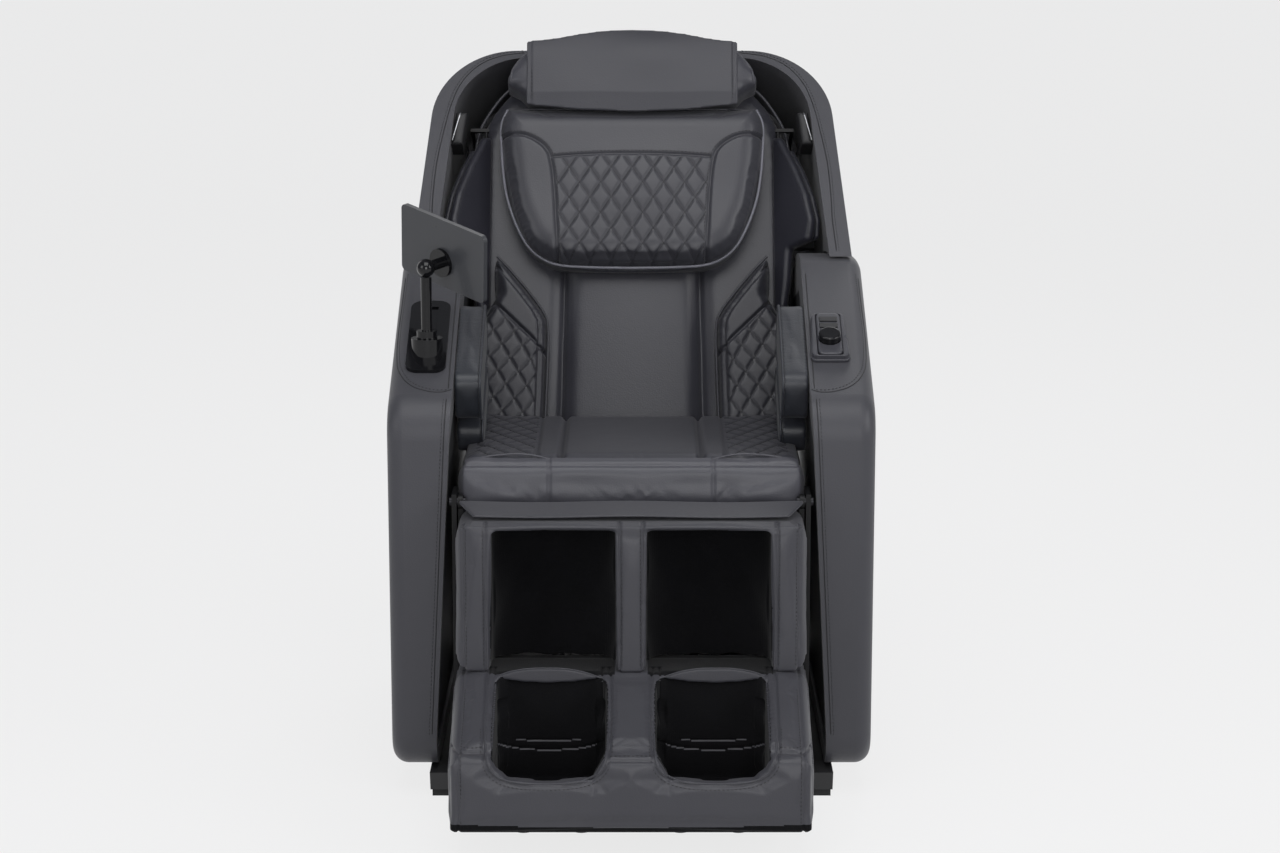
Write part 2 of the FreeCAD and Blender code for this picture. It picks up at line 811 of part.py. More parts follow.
def make_skirts_and_feet():
    skirt = new_body("base_rail")
    corners = [
        ("arm_front + skirt_setback", "foot_pad_height"),
        ("arm_rear - rail_rear_setback - 2 * skirt_setback", "foot_pad_height"),
        ("arm_rear - rail_rear_setback", "arm_bottom"),
        ("arm_front - skirt_setback / 2", "arm_bottom"),
    ]
    pad(skirt, polygon(skirt, "YZ_Plane", corners, "rail_inner_edge"), "rail_outer_edge - rail_inner_edge")
    trough = [
        ("arm_front + trough_inset", "foot_pad_height + skirt_wall"),
        ("arm_rear - 1.5 * trough_inset", "foot_pad_height + skirt_wall"),
        ("arm_rear - 1.5 * trough_inset", "arm_bottom + 1"),
        ("arm_front + trough_inset", "arm_bottom + 1"),
    ]
    pocket(skirt, polygon(skirt, "YZ_Plane", trough, "rail_outer_edge - skirt_wall"),
           "rail_outer_edge - rail_inner_edge - 2 * skirt_wall")
    both_sides("base_rail", skirt)

    feet = []
    starts = ("arm_front + front_foot_offset", "back_hinge_y - rubber_length", "arm_rear - rear_foot_offset")
    for start in starts:
        end = f"{start} + rubber_length"
        for low, high in on_both_sides("rail_inner_edge + rubber_inset", "rail_outer_edge - rubber_inset"):
            feet.append(bar("rubber_foot", (low, start, "0"), (high, end, "foot_pad_height")))
    finish(together("feet", feet), "rubber_feet")


def make_wheels():
    """Rear transport wheels, just clear of the floor while the chair stands."""
    inner = "(chassis_half - chassis_bar)"
    reach = f"({inner} + hanger_thickness)"
    axle = rod("axle", "axle_radius", (f"-{reach}", "wheel_centre_y", AXLE_Z), f"2 * {reach}", ACROSS)
    finish(axle, "wheel_axle")
    wheel = new_body("rear_wheel")
    start = f"{inner} - wheel_side_gap - wheel_width"
    pad(wheel, disc(wheel, "YZ_Plane", "wheel_centre_y", AXLE_Z, "wheel_radius", start), "wheel_width")
    round_edges(wheel, "wheel_round", lambda edge: len(edge.Vertexes) == 1)
    bore = disc(wheel, "YZ_Plane", "wheel_centre_y", AXLE_Z, "axle_radius + pin_clearance", start)
    pocket(wheel, bore, symmetric=True)
    both_sides("rear_wheel", wheel)


def make_inner_machines():
    floor = "(arm_bottom + chassis_bar)"
    pump = new_body("air_pump")
    front, rear = "(leg_hinge_y + pump_setback)", "(leg_hinge_y + pump_setback + pump_length)"
    outline = rectangle(("pump_right - pump_width", front), ("pump_right", rear))
    pad(pump, polygon(pump, "XY_Plane", outline, floor), "pump_height")
    round_edges(pump, "pump_corner", lambda edge: runs_along(edge, UP))
    for y in (f"{front} + pump_head_inset", f"{rear} - pump_head_inset"):
        head = disc(pump, "XY_Plane", "pump_right - pump_width / 2", y, "pump_head_radius",
                    f"{floor} + pump_height - weld_overlap")
        pad(pump, head, "pump_head_height")
    finish(pump, "air_pump")

    power = new_body("power_box")
    rear_face = "(arm_rear - power_setback)"
    right_side = "power_left + power_width"
    outline = rectangle(("power_left", "back_hinge_y + power_offset"), (right_side, rear_face))
    pad(power, polygon(power, "XY_Plane", outline, floor), "power_height")
    low = ("power_left + inlet_offset", f"{floor} + inlet_lift")
    high = ("power_left + inlet_offset + inlet_width", f"{floor} + inlet_lift + inlet_height")
    inlet = polygon(power, "XZ_Plane", rectangle(low, high), f"-{rear_face}")
    pocket(power, inlet, "inlet_depth", backward=True)
    finish(power, "power_box")

    for label, stem in (("recline_actuator", "recline"), ("leg_actuator", "leg_drive")):
        start, motor = f"(leg_hinge_y + {stem}_start)", f"(leg_hinge_y + {stem}_motor)"
        make_actuator(label, f"{stem}_x", start, motor, floor)


def make_actuator(label, x, start, motor, floor):
    """A linear drive lying in its cradle: tube, motor and push rod."""
    axis_z = f"({floor} + actuator_lift)"
    tube = rod("tube", "actuator_radius", (x, start, axis_z), "actuator_length", TO_REAR)
    gearbox = rod("motor", "motor_radius", (x, motor, axis_z), "motor_length", TO_REAR)
    tip = rod("push_rod", "push_rod_radius", (x, f"{start} + actuator_length - weld_overlap", axis_z),
              "push_rod_length", TO_REAR)
    cradle_start = f"({start} + cradle_inset)"
    cradle = bar("cradle", (f"{x} - cradle_half", cradle_start, floor),
                 (f"{x} + cradle_half", f"{cradle_start} + cradle_length", f"{floor} + actuator_radius"))
    finish(fused("actuator", [tube, gearbox, tip, cradle]), label)


def make_base_cover():
    """The rear cover between the arms, with an opening for the mains inlet."""
    cover = new_body("base_cover")
    low, high = "(arm_bottom + chassis_bar + soft_gap)", "(back_hinge_height - cover_drop)"
    low_half, high_half = (f"({arm_inner_face(z)} - soft_gap)" for z in (low, high))
    corners = [(f"-{low_half}", low), (low_half, low), (high_half, high), (f"-{high_half}", high)]
    pad(cover, polygon(cover, "XZ_Plane", corners, "-arm_rear"), "cover_rim")
    hollow = rectangle(("-(chassis_half - cover_rim)", f"{low} + cover_rim"),
                       ("chassis_half - cover_rim", f"{high} - cover_rim"))
    pocket(cover, polygon(cover, "XZ_Plane", hollow, "-(arm_rear - cover_rim)"), "cover_rim - cover_wall")
    window = rectangle(("power_left - power_setback", "0"),
                       ("power_left + power_width + power_setback",
                        "arm_bottom + chassis_bar + power_height + power_setback"))
    pocket(cover, polygon(cover, "XZ_Plane", window))
    finish(cover, "base_cover")


# Seat

def make_seat():
    pan = new_body("seat_pan")
    pan_half = "(cheek_inner - pan_side_gap)"
    outline = rectangle((f"-{pan_half}", "leg_hinge_y + pan_setback"), (pan_half, "seat_rear - pan_side_gap"))
    pad(pan, polygon(pan, "XY_Plane", outline, "pan_top - pan_thickness"), "pan_thickness")
    round_edges(pan, "pan_corner", lambda edge: runs_along(edge, UP))
    finish(pan, "seat_pan")

    front, rear = mm("seat_front"), mm("seat_rear")
    top, low, rear_top = mm("seat_roll_top"), mm("seat_roll_bottom"), mm("seat_rear_height")
    pan_top = mm("pan_top + soft_gap")
    roll = (top - low) / 2
    depth = top - pan_top

    def section(x, drop):
        """Side view of the seat at one station across it: a round front roll, then a dip to the rear."""
        turns = [math.radians(turn) for turn in (-90, -65, -40, -15, 10, 35, 60, 90)]
        points = [(front + roll - (roll - drop) * math.cos(turn), low + roll + (roll - drop) * math.sin(turn))
                  for turn in turns]
        points.append((front + 1.2 * depth, top - mm("seat_dip") - drop))
        points.append((front + 2 * depth, rear_top + mm("seat_hollow") - drop))
        points += [(rear, rear_top - drop), (rear, pan_top), (front + 2 * roll, pan_top)]
        corners = [Vector(x, y, z) for y, z in points]
        return Part.makePolygon(corners + corners[:1])

    half, seam = mm("seat_half_width"), mm("seat_seam_x")
    edge = [(half, 16), (half - 8, 7), (half - 30, 1)]
    valley = [(seam + 7, 0), (seam, 6), (seam - 7, 0)]
    stations = [(-x, drop) for x, drop in edge + valley] + [(x, drop) for x, drop in reversed(edge + valley)]
    shape = Part.makeLoft([section(x, drop) for x, drop in stations], True, True)
    finish(shaped("seat_cushion", shape), "seat_cushion")


# Back: hood, frame, cushions

def hood_form(name, side_inset, top_inset, rear_inset, corner, front_cut):
    """The hood as a solid block, drawn smaller by the insets."""
    form = new_body(name)
    below, above = "(hood_base - hood_spare)", "(hood_top + hood_spare)"
    base, top = f"(hood_half_base - {side_inset})", f"(hood_half_top - {side_inset})"
    corners = [(f"-{base}", below), (base, below),
               (top, f"hood_top - {top_inset}"), (f"-{top}", f"hood_top - {top_inset}")]
    rear = f"(hood_rear - {rear_inset})"
    pad(form, polygon(form, "XZ_Plane", corners, f"-{rear}"), f"{rear} + hood_reach")
    height = mm(f"hood_top - {top_inset}")
    round_edges(form, corner, lambda edge: runs_along(edge, TO_REAR) and lies_at(edge, z=height))
    slant = [(rear, "hood_shoulder_height"), (f"{rear} + hood_spare", "hood_shoulder_height"),
             (f"{rear} + hood_spare", above), (f"hood_rear_top - {rear_inset}", above)]
    pocket(form, polygon(form, "YZ_Plane", slant), symmetric=True)
    if front_cut:
        lean = "((hood_front_base - hood_front_top) / (hood_top - hood_base))"
        foot = "(hood_base - hood_spare - 20)"
        front = [("-(hood_reach + 1)", foot), (f"-(hood_front_base + (hood_spare + 20) * {lean})", foot),
                 (f"-(hood_front_top - hood_spare * {lean})", above), ("-(hood_reach + 1)", above)]
        pocket(form, polygon(form, "YZ_Plane", front), symmetric=True)
        shoulder = mm("hood_shoulder_height")
        round_edges(form, "hood_rear_round",
                    lambda edge: edge.BoundBox.YMin > 60 and edge.BoundBox.ZMax > shoulder - 100
                    and not lies_at(edge, z=shoulder))
    return form


def hood_inside(up):
    """How far the hood's inner wall is from the middle at a height up the back."""
    taper = "(hood_half_base - hood_half_top) / (hood_top - hood_rim_top - hood_base + hood_spare)"
    return f"(hood_half_base - hood_rim - (({up}) - hood_base + hood_spare) * {taper})"


def make_hood():
    outer = hood_form("hood_outer", "0", "0", "0", "hood_corner", True)
    inner = hood_form("hood_inner", "hood_rim", "hood_rim_top", "hood_wall", "hood_inner_corner", False)
    shell = cut("hood_open", outer, inner)
    sweep = rod("arm_clearance", "arm_arc_radius + hood_running_gap", ("-chair_half_width", "0", "0"),
                "2 * chair_half_width", ACROSS)
    finish(lean_back(cut("hood", shell, sweep)), "hood_shell")


WING_PIN_X = "(wing_hinge_x + wing_pin_reach * 0.6 - wing_pin_depth * 0.8)"
WING_PIN_V = "(0 - cushion_front - 1 - wing_pin_reach * 0.8 - wing_pin_depth * 0.6)"


def wing_carriers():
    """On each side, a pin for the shoulder wing and the two cranked arms that hold it."""
    eye = "(wing_pin_radius + wing_eye_wall)"
    inner = "(cushion_half_width + wing_arm_gap)"
    outer = f"({inner} + wing_arm_bar)"
    front, rear = f"({WING_PIN_V} - wing_finger_front)", "(frame_depth - weld_overlap)"
    pieces = []
    for bottom in ("wing_pin_low", "wing_pin_high"):
        top = f"{bottom} + wing_arm_bar"
        for low, high in on_both_sides(inner, outer):
            pieces.append(bar("wing_arm", (low, front, bottom), (high, rear, top)))
        for low, high in on_both_sides(f"{WING_PIN_X} - {eye}", f"{inner} + weld_overlap"):
            pieces.append(bar("wing_finger", (low, front, bottom), (high, f"{WING_PIN_V} + {eye}", top)))
        for low, high in on_both_sides("back_frame_half - weld_overlap", outer):
            pieces.append(bar("wing_root", (low, "bracket_front", bottom), (high, rear, top)))
    for pin_x in (WING_PIN_X, f"-{WING_PIN_X}"):
        pieces.append(rod("wing_pin", "wing_pin_radius", (pin_x, WING_PIN_V, "wing_pin_low + weld_overlap"),
                          "wing_pin_high - wing_pin_low + 4"))
    return pieces


def make_back_frame():
    front, rear = "(cushion_thickness - cushion_front + soft_gap)", "(frame_depth - weld_overlap)"
    beam_low = "(rail_top + head_bar_lift)"
    beam_top = "(rail_top + head_bar_lift + head_bar_height)"
    hood_bar_top = "(hood_bar_bottom + hood_bar_height)"
    hood_seat = f"{hood_inside(hood_bar_top)} - soft_gap"
    pieces = wing_carriers()
    for low, high in on_both_sides("back_frame_half - frame_bar", "back_frame_half"):
        pieces.append(bar("upright", (low, front, "upright_foot"), (high, "frame_depth", beam_top)))
        for bottom in ("cover_bracket_low", "cover_bracket_high"):
            top = f"{bottom} + cover_bracket_height"
            pieces.append(bar("cover_bracket", (low, rear, bottom),
                              (high, "cover_depth - cover_rear_wall - soft_gap", top)))
    for low, high in on_both_sides("lug_inner", "lug_inner + lug_thickness"):
        pieces.append(bar("lug", (low, "-lug_reach", "-lug_reach"),
                          (high, "frame_depth", "cushion_bottom - lug_drop")))
        pieces.append(bar("lug_web", (low, front, "cushion_bottom - lug_drop - weld_overlap"),
                          (high, "frame_depth", "foot_bar_top")))
    pieces.append(bar("foot_bar", ("-(lug_inner + weld_overlap)", front, "foot_bar_bottom"),
                      ("lug_inner + weld_overlap", "frame_depth", "foot_bar_top")))
    pieces.append(bar("head_bar", ("-back_frame_half", front, beam_low),
                      ("back_frame_half", "frame_depth", beam_top)))
    for bottom in ("screw_foot", "rail_top - screw_head_drop"):
        pieces.append(bar("screw_block", ("-screw_block_half", rear, bottom),
                          ("screw_block_half", "screw_depth + nut_reach", f"{bottom} + rail_bracket_height")))
    for low, high in on_both_sides("rail_outer", "back_frame_half - bracket_weld"):
        for bottom in ("rail_bottom", "rail_top - rail_bracket_height"):
            pieces.append(bar("rail_bracket", (low, "bracket_front", bottom),
                              (high, rear, f"{bottom} + rail_bracket_height")))
    for low, high in on_both_sides("back_frame_half - bracket_weld", hood_seat):
        pieces.append(bar("hood_bar", (low, "bracket_front", "hood_bar_bottom"), (high, rear, hood_bar_top)))
    bore = rod("lug_bore", "back_pin_radius + pin_clearance", ("-chair_half_width", "0", "0"),
               "2 * chair_half_width", ACROSS)
    finish(lean_back(cut("bored_frame", fused("frame", pieces), bore)), "back_frame")


CARRIAGE_MIDDLE = "(carriage_bottom + carriage_height / 2)"


def make_rails_and_carriage():
    rails = []
    for (low, high), (slot_low, slot_high) in zip(on_both_sides("rail_inner", "rail_outer"),
                                                  on_both_sides("rail_inner - 1", "rail_outer - rail_web")):
        solid = bar("rail_bar", (low, "rail_front", "rail_bottom"), (high, "frame_depth", "rail_top"))
        groove = bar("rail_slot", (slot_low, "slot_front", "rail_bottom - 1"),
                     (slot_high, "slot_rear", "rail_top + 1"))
        rails.append(cut("rail", solid, groove))
    finish(lean_back(together("rails", rails)), "guide_rails")
    screw_start = "(screw_foot + rail_bracket_height)"
    screw = rod("lead_screw", "screw_radius", ("0", "screw_depth", screw_start),
                f"rail_top - screw_head_drop - {screw_start}")
    finish(lean_back(together("screw", [screw])), "lift_screw")

    top = "(carriage_bottom + carriage_height)"
    side = "(rail_inner - carriage_side_gap)"
    front = "slot_front + slide_clearance"
    pieces = []
    for low, high in on_both_sides("carriage_half_inner", side):
        pieces.append(bar("cheek", (low, front, "carriage_bottom"), (high, "carriage_depth", top)))
    for low, high in on_both_sides(f"{side} - weld_overlap", "rail_outer - rail_web - slide_clearance"):
        for bottom in ("(carriage_bottom + shoe_inset)", f"({top} - shoe_inset - shoe_height)"):
            pieces.append(bar("shoe", (low, front, bottom),
                              (high, "slot_rear - slide_clearance", f"{bottom} + shoe_height")))
    pieces.append(bar("bridge", (f"-{side}", "carriage_depth - bridge_thickness", "carriage_bottom"),
                      (side, "carriage_depth", top)))
    pieces.append(bar("nut", ("-nut_half", "carriage_depth - weld_overlap", "carriage_bottom + nut_inset"),
                      ("nut_half", "screw_depth + nut_reach", f"{top} - nut_inset")))
    shaft_half = "(carriage_half_inner + weld_overlap)"
    shaft_start = (f"-{shaft_half}", "knead_shaft_depth", CARRIAGE_MIDDLE)
    pieces.append(rod("knead_shaft", "knead_shaft_radius", shaft_start, f"2 * {shaft_half}", ACROSS))
    bore = rod("nut_bore", "screw_radius + pin_clearance", ("0", "screw_depth", "carriage_bottom"),
               "carriage_height")
    finish(lean_back(cut("carriage_block", fused("carriage_parts", pieces), bore)), "carriage")


def make_knead_arms():
    """Each arm holds two rollers that press through the cushion."""
    hub = rod("hub", "knead_shaft_radius + knead_hub_wall",
              ("knead_hub_x", "knead_shaft_depth", CARRIAGE_MIDDLE), "knead_hub_length", ACROSS)
    web = bar("web", ("knead_web_x", "knead_web_front", f"{CARRIAGE_MIDDLE} - knead_roller_reach"),
              ("knead_web_x + roller_width", "knead_shaft_depth", f"{CARRIAGE_MIDDLE} + knead_roller_reach"))
    pins = [rod("roller_pin", "roller_pin_radius",
                ("knead_hub_x - 2", "roller_depth", f"{CARRIAGE_MIDDLE} {sign} knead_roller_reach"),
                "knead_hub_length + 4", ACROSS) for sign in "+-"]
    bore = rod("hub_bore", "knead_shaft_radius + pin_clearance",
               ("knead_hub_x - 6", "knead_shaft_depth", CARRIAGE_MIDDLE), "knead_hub_length + 12", ACROSS)
    both_sides("knead_arm", lean_back(cut("knead_arm", fused("arm_parts", [hub, web] + pins), bore)))
    rollers = []
    for sign in "+-":
        for x in ("knead_web_x + roller_width + 1", "knead_web_x - roller_width - 1"):
            centre = (x, "roller_depth", f"{CARRIAGE_MIDDLE} {sign} knead_roller_reach")
            tyre = rod("tyre", "knead_roller_radius", centre, "roller_width", ACROSS)
            hole = rod("tyre_hole", "roller_pin_radius", centre, "roller_width", ACROSS)
            rollers.append(cut("roller", tyre, hole))
    both_sides("knead_rollers", lean_back(together("roller_set", rollers)))


def make_rear_cover():
    """The moulded cover behind the mechanism; it slides up inside the hood's rear."""
    cover = new_body("rear_cover")
    outline = rectangle(("-cover_half_width", "cover_front"), ("cover_half_width", "cover_depth"))
    pad(cover, polygon(cover, "XY_Plane", outline, "-cover_foot"), "hood_shoulder_height - cover_top_drop")
    rear = mm("cover_depth")
    round_edges(cover, "cover_corner", lambda edge: runs_along(edge, UP) and lies_at(edge, y=rear))
    half = "(cover_half_width - cover_wall)"
    inside = rectangle((f"-{half}", "cover_front - 1"), (half, "cover_depth - cover_rear_wall"))
    hollow = polygon(cover, "XY_Plane", inside, "cover_wall - cover_foot")
    pocket(cover, hollow, "hood_shoulder_height", backward=True)
    finish(lean_back(cover), "rear_cover")


def make_back_cushions():
    half, top_half = mm("cushion_half_width"), mm("cushion_top_half")
    low, high = mm("cushion_bottom"), mm("cushion_top")
    shoulder = high - mm("cushion_slope")
    corners = [(-half, low), (half, low), (half, shoulder),
               (top_half, high), (-top_half, high), (-half, shoulder)]
    shape = cushion_shape(corners, [35, 35, 60, 40, 40, 60], mm("cushion_thickness"))
    for side in (-1, 1):
        seam = channel(mm("channel_length"), mm("channel_radius"))
        seam.translate(Vector(side * mm("channel_offset"), low, mm("cushion_thickness") + 2))
        shape = shape.cut(seam)
    depth = mm("cushion_front - cushion_thickness")
    finish(shaped("back_cushion", shape, facing_front(depth)), "back_cushion")

    face = mm("cushion_front + soft_gap")
    corners = [(159, low + 3), (half, low + 3), (half, 226), (238, 272), (238, 356), (182, 300), (149, 235)]
    shape = cushion_shape(corners, [36, 36, 26, 16, 12, 60, 60], mm("bolster_thickness"), 0.7)
    both_sides("bolster", shaped("bolster", shape, facing_front(face)))


def crest(x):
    """The head pad is highest at its middle."""
    return mm("head_crest") - 24 * (x / mm("flap_half_width")) ** 2


def make_head_pad_and_flap():
    front = mm("cushion_front + pillow_thickness + 8")
    rim = mm("hood_front_top") + 14
    face = mm("cushion_front + soft_gap")
    low = mm("pillow_top") + 12
    half = mm("head_half_width")

    def pad_section(x, tuck, drop, rise):
        top = crest(x) - drop
        seat = min(mm("cushion_top") - 10, top - 14)
        points = [(-face - tuck, low + rise), (-face - tuck, seat), (-rim - 2, seat + 7),
                  (-rim - 1, top - 6), (-front + 4 + tuck, top - 12), (-front + tuck, (low + rise + top) / 2),
                  (-front + 2 + tuck, low + rise)]
        corners = [Vector(x, depth, up) for depth, up in points]
        return Part.makePolygon(corners + corners[:1])

    right = [(half / 4, 0, 0, 0), (half / 2, 0, 0, 0), (half - 40, 0, 2, 6), (half - 25, 2, 10, 22),
             (half - 10, 5, 24, 30), (half, 10, 42, 32)]
    stations = [(-x, *trim) for x, *trim in reversed(right)] + [(0, 0, 0, 0)] + right
    shape = Part.makeLoft([pad_section(*station) for station in stations], True, True)
    finish(shaped("head_pad", shape, BACK_PLACE), "head_pad")

    thick = mm("flap_thickness")
    inner = front + mm("soft_gap")
    top = mm("hood_top + soft_gap")

    def flap_section(x):
        crown = max(crest(x) - 3, top)
        points = [(-inner, mm("pillow_top") + 5), (-inner, crown - 12), (-inner + 12, crown), (-rim, crown),
                  (-rim + 22, top), (60, top), (60, top + thick), (-rim + 24, top + thick),
                  (-rim + 2, crown + thick), (-inner + 10, crown + thick), (-inner - thick, crown - 10),
                  (-inner - thick, mm("pillow_top") + 5)]
        corners = [Vector(x, depth, up) for depth, up in points]
        return Part.makePolygon(corners + corners[:1])

    width = mm("flap_half_width")
    shape = Part.makeLoft([flap_section(x) for x in (-width, 0, width)], True, False)
    finish(shaped("flap", shape, BACK_PLACE), "flap")


def make_pillow():
    foot, half = mm("pillow_foot_half"), mm("pillow_half_width")
    low, high = mm("pillow_bottom"), mm("pillow_top")
    corners = [(-foot, low), (foot, low), (half, low + 110), (half, high), (-half, high), (-half, low + 110)]
    shape = cushion_shape(corners, [50, 50, 70, 34, 34, 70], mm("pillow_thickness"))
    finish(shaped("pillow", shape, facing_front(mm("cushion_front + soft_gap"))), "pillow")


def make_wings():
    """Shoulder pads hinged beside the back cushion, and the fixed blades behind them."""
    corners = [(0, 284), (22, 272), (36, 330), (42, 388), (96, 390),
               (106, 424), (90, 480), (58, 542), (20, 602), (0, 608)]
    radii = [8, 8, 30, 8, 12, 20, 60, 60, 12, 5]
    shape = cushion_shape(corners, radii, mm("wing_thickness"), 0.25)
    length = mm("wing_pin_high - wing_pin_low")
    bore = Part.makeCylinder(mm("wing_pin_radius + pin_clearance"), length,
                             Vector(mm("wing_pin_reach"), mm("wing_pin_low"), mm("wing_pin_depth")), TO_REAR)
    shape = shape.cut(bore)
    outward = Vector(0.6, -0.8, 0)
    inward = Vector(-0.8, -0.6, 0)
    turn = Rotation(outward, UP, inward, "XYZ")
    base = Vector(mm("wing_hinge_x"), -mm("cushion_front") - 1, 0)
    both_sides("wing", shaped("wing", shape, BACK_PLACE * Placement(base, turn)))

    corners = [(14, 392), (100, 396), (103, 430), (88, 480), (60, 536), (20, 596)]
    shape = cushion_shape(corners, [6, 10, 20, 40, 40, 8], mm("wing_back - 0.5"), 0.2)
    behind = Placement(base - inward * mm("wing_back"), turn)
    both_sides("outer_wing", shaped("outer_wing", shape, BACK_PLACE * behind))

    speaker = new_body("speaker_pod")
    low, high = "pod_bottom", "(pod_bottom + pod_height)"
    wall_low, wall_high = hood_inside(low) + " - soft_gap", hood_inside(high) + " - 12 * soft_gap"
    corners = [(f"{wall_low} - pod_thickness", low), (wall_low, low),
               (wall_high, high), (f"{wall_high} - pod_thickness", high)]
    pad(speaker, polygon(speaker, "XZ_Plane", corners, "pod_front - pod_depth"), "pod_depth")
    front = -mm("pod_front")
    round_edges(speaker, "pod_thickness * 0.4", lambda edge: lies_at(edge, y=front))
    both_sides("speaker_pod", lean_back(speaker))


# Leg rest

def make_leg_frame():
    lug_outer = "(leg_lug_inner + lug_thickness)"
    plate_rear = "(guide_centre_y - rod_radius - 1)"
    pieces = []
    for low, high in on_both_sides("leg_lug_inner", lug_outer):
        pieces.append(bar("leg_lug", (low, "calf_rear + 1", "calf_bottom + leg_lug_lift"),
                          (high, "calf_rear + leg_lug_depth", "leg_hinge_height")))
        pieces.append(rod("leg_eye", "leg_pin_radius + leg_eye_wall",
                          (low, "leg_hinge_y", "leg_hinge_height"), "lug_thickness", ACROSS))
    for x in ("guide_offset", "-guide_offset"):
        pieces.append(rod("guide_tube", "rod_radius + rod_clearance + guide_wall",
                          (x, "guide_centre_y", "calf_bottom + guide_lift"), "guide_length"))
    half = "(leg_lug_inner + weld_overlap)"
    pieces.append(bar("leg_plate", (f"-{half}", "calf_rear + soft_gap", "calf_bottom + leg_plate_low"),
                      (half, plate_rear, "calf_bottom + leg_plate_high")))
    holes = [rod("guide_bore", "rod_radius + rod_clearance", (x, "guide_centre_y", "calf_bottom"), "260")
             for x in ("guide_offset", "-guide_offset")]
    holes.append(rod("eye_bore", "leg_pin_radius + pin_clearance",
                     ("-chair_half_width", "leg_hinge_y", "leg_hinge_height"),
                     "2 * chair_half_width", ACROSS))
    finish(cut("leg_frame", fused("leg_parts", pieces), together("leg_holes", holes)), "leg_frame")


def make_calf():
    calf = new_body("calf_pad")
    outline = rectangle(("-calf_half_width", "calf_bottom"), ("calf_half_width", "calf_top"))
    pad(calf, polygon(calf, "XZ_Plane", outline, "-calf_rear"), "calf_rear - calf_front")
    floor = "(calf_rear - well_floor)"
    for near, far in on_both_sides("divider_half", "calf_half_width - outer_band"):
        well = rectangle((near, "calf_front - 1"), (far, floor))
        pocket(calf, polygon(calf, "XY_Plane", well, "calf_top - calf_top_bar"), None)
    depth = mm(floor)
    round_edges(calf, "well_round", lambda edge: runs_along(edge, UP) and lies_at(edge, y=depth))
    front, half = mm("calf_front"), mm("calf_half_width")
    round_edges(calf, "calf_corner", lambda edge: runs_along(edge, UP) and lies_at(edge, y=front)
                and abs(edge.BoundBox.XMin) > half - 1)
    finish(calf, "calf_pad")

    apron = new_body("apron")
    low, high = "(calf_top + soft_gap)", "(calf_top + soft_gap + apron_thickness)"
    narrow, wide = "(calf_half_width - apron_inset)", "(calf_half_width + apron_flare)"
    corners = [(f"-{narrow}", low), (narrow, low), (wide, high), (f"-{wide}", high)]
    pad(apron, polygon(apron, "XZ_Plane", corners, "-(leg_hinge_y - apron_setback)"), "apron_depth")
    finish(apron, "apron")


def make_foot():
    foot = new_body("foot_pad")
    corners = [("foot_front", "foot_bottom"), ("foot_rear", "foot_bottom"), ("foot_rear", "foot_top"),
               ("calf_front - 2", "foot_top"), ("foot_front", "foot_lip")]
    pad(foot, polygon(foot, "YZ_Plane", corners), "2 * foot_half_width", symmetric=True)
    front, lip, low = mm("foot_front"), mm("foot_lip"), mm("foot_bottom")
    for height in (lip, low):
        round_edges(foot, "foot_corner_round * 0.6",
                    lambda edge: runs_along(edge, ACROSS) and lies_at(edge, y=front, z=height))
    for near, far in on_both_sides("foot_divider_half", "foot_half_width - foot_outer_band"):
        well = rectangle((near, "foot_well_front"), (far, "foot_well_rear"))
        pocket(foot, polygon(foot, "XY_Plane", well, "foot_well_bottom"), None, backward=True)
        above = "foot_lip + 30"
        dip = [(f"{near} + foot_dip_inset", "foot_dip"), (f"{far} - foot_dip_inset", "foot_dip"),
               (f"{far} - 4", above), (f"{near} + 4", above)]
        pocket(foot, polygon(foot, "XZ_Plane", dip, "-(foot_well_front + 2)"), None, backward=True)
    rear = mm("foot_well_rear")
    round_edges(foot, "foot_well_round", lambda edge: runs_along(edge, UP) and lies_at(edge, y=rear))
    finish(foot, "foot_pad")

    pieces = []
    for x in ("guide_offset", "-guide_offset"):
        pieces.append(rod("slide_rod", "rod_radius", (x, "guide_centre_y", "foot_bottom + rod_lift"),
                          "calf_bottom + rod_reach - foot_bottom"))
    half = "(guide_offset + 20)"
    pieces.append(bar("rod_bracket", (f"-{half}", "foot_rear", "foot_bottom + 30"),
                      (half, "guide_centre_y + 12", "foot_bottom + 50")))
    finish(fused("foot_rods", pieces), "foot_rods")


# Controls on the arms

def on_arm(x, y, lift=0.0):
    """A place on the arm's sloping top, with its Z square to the slope."""
    slope = Rotation(ACROSS, mm("arm_slope"))
    base = Vector(mm(x), mm(y), mm(arm_top(y)))
    return Placement(base + slope.multVec(UP) * lift, slope)


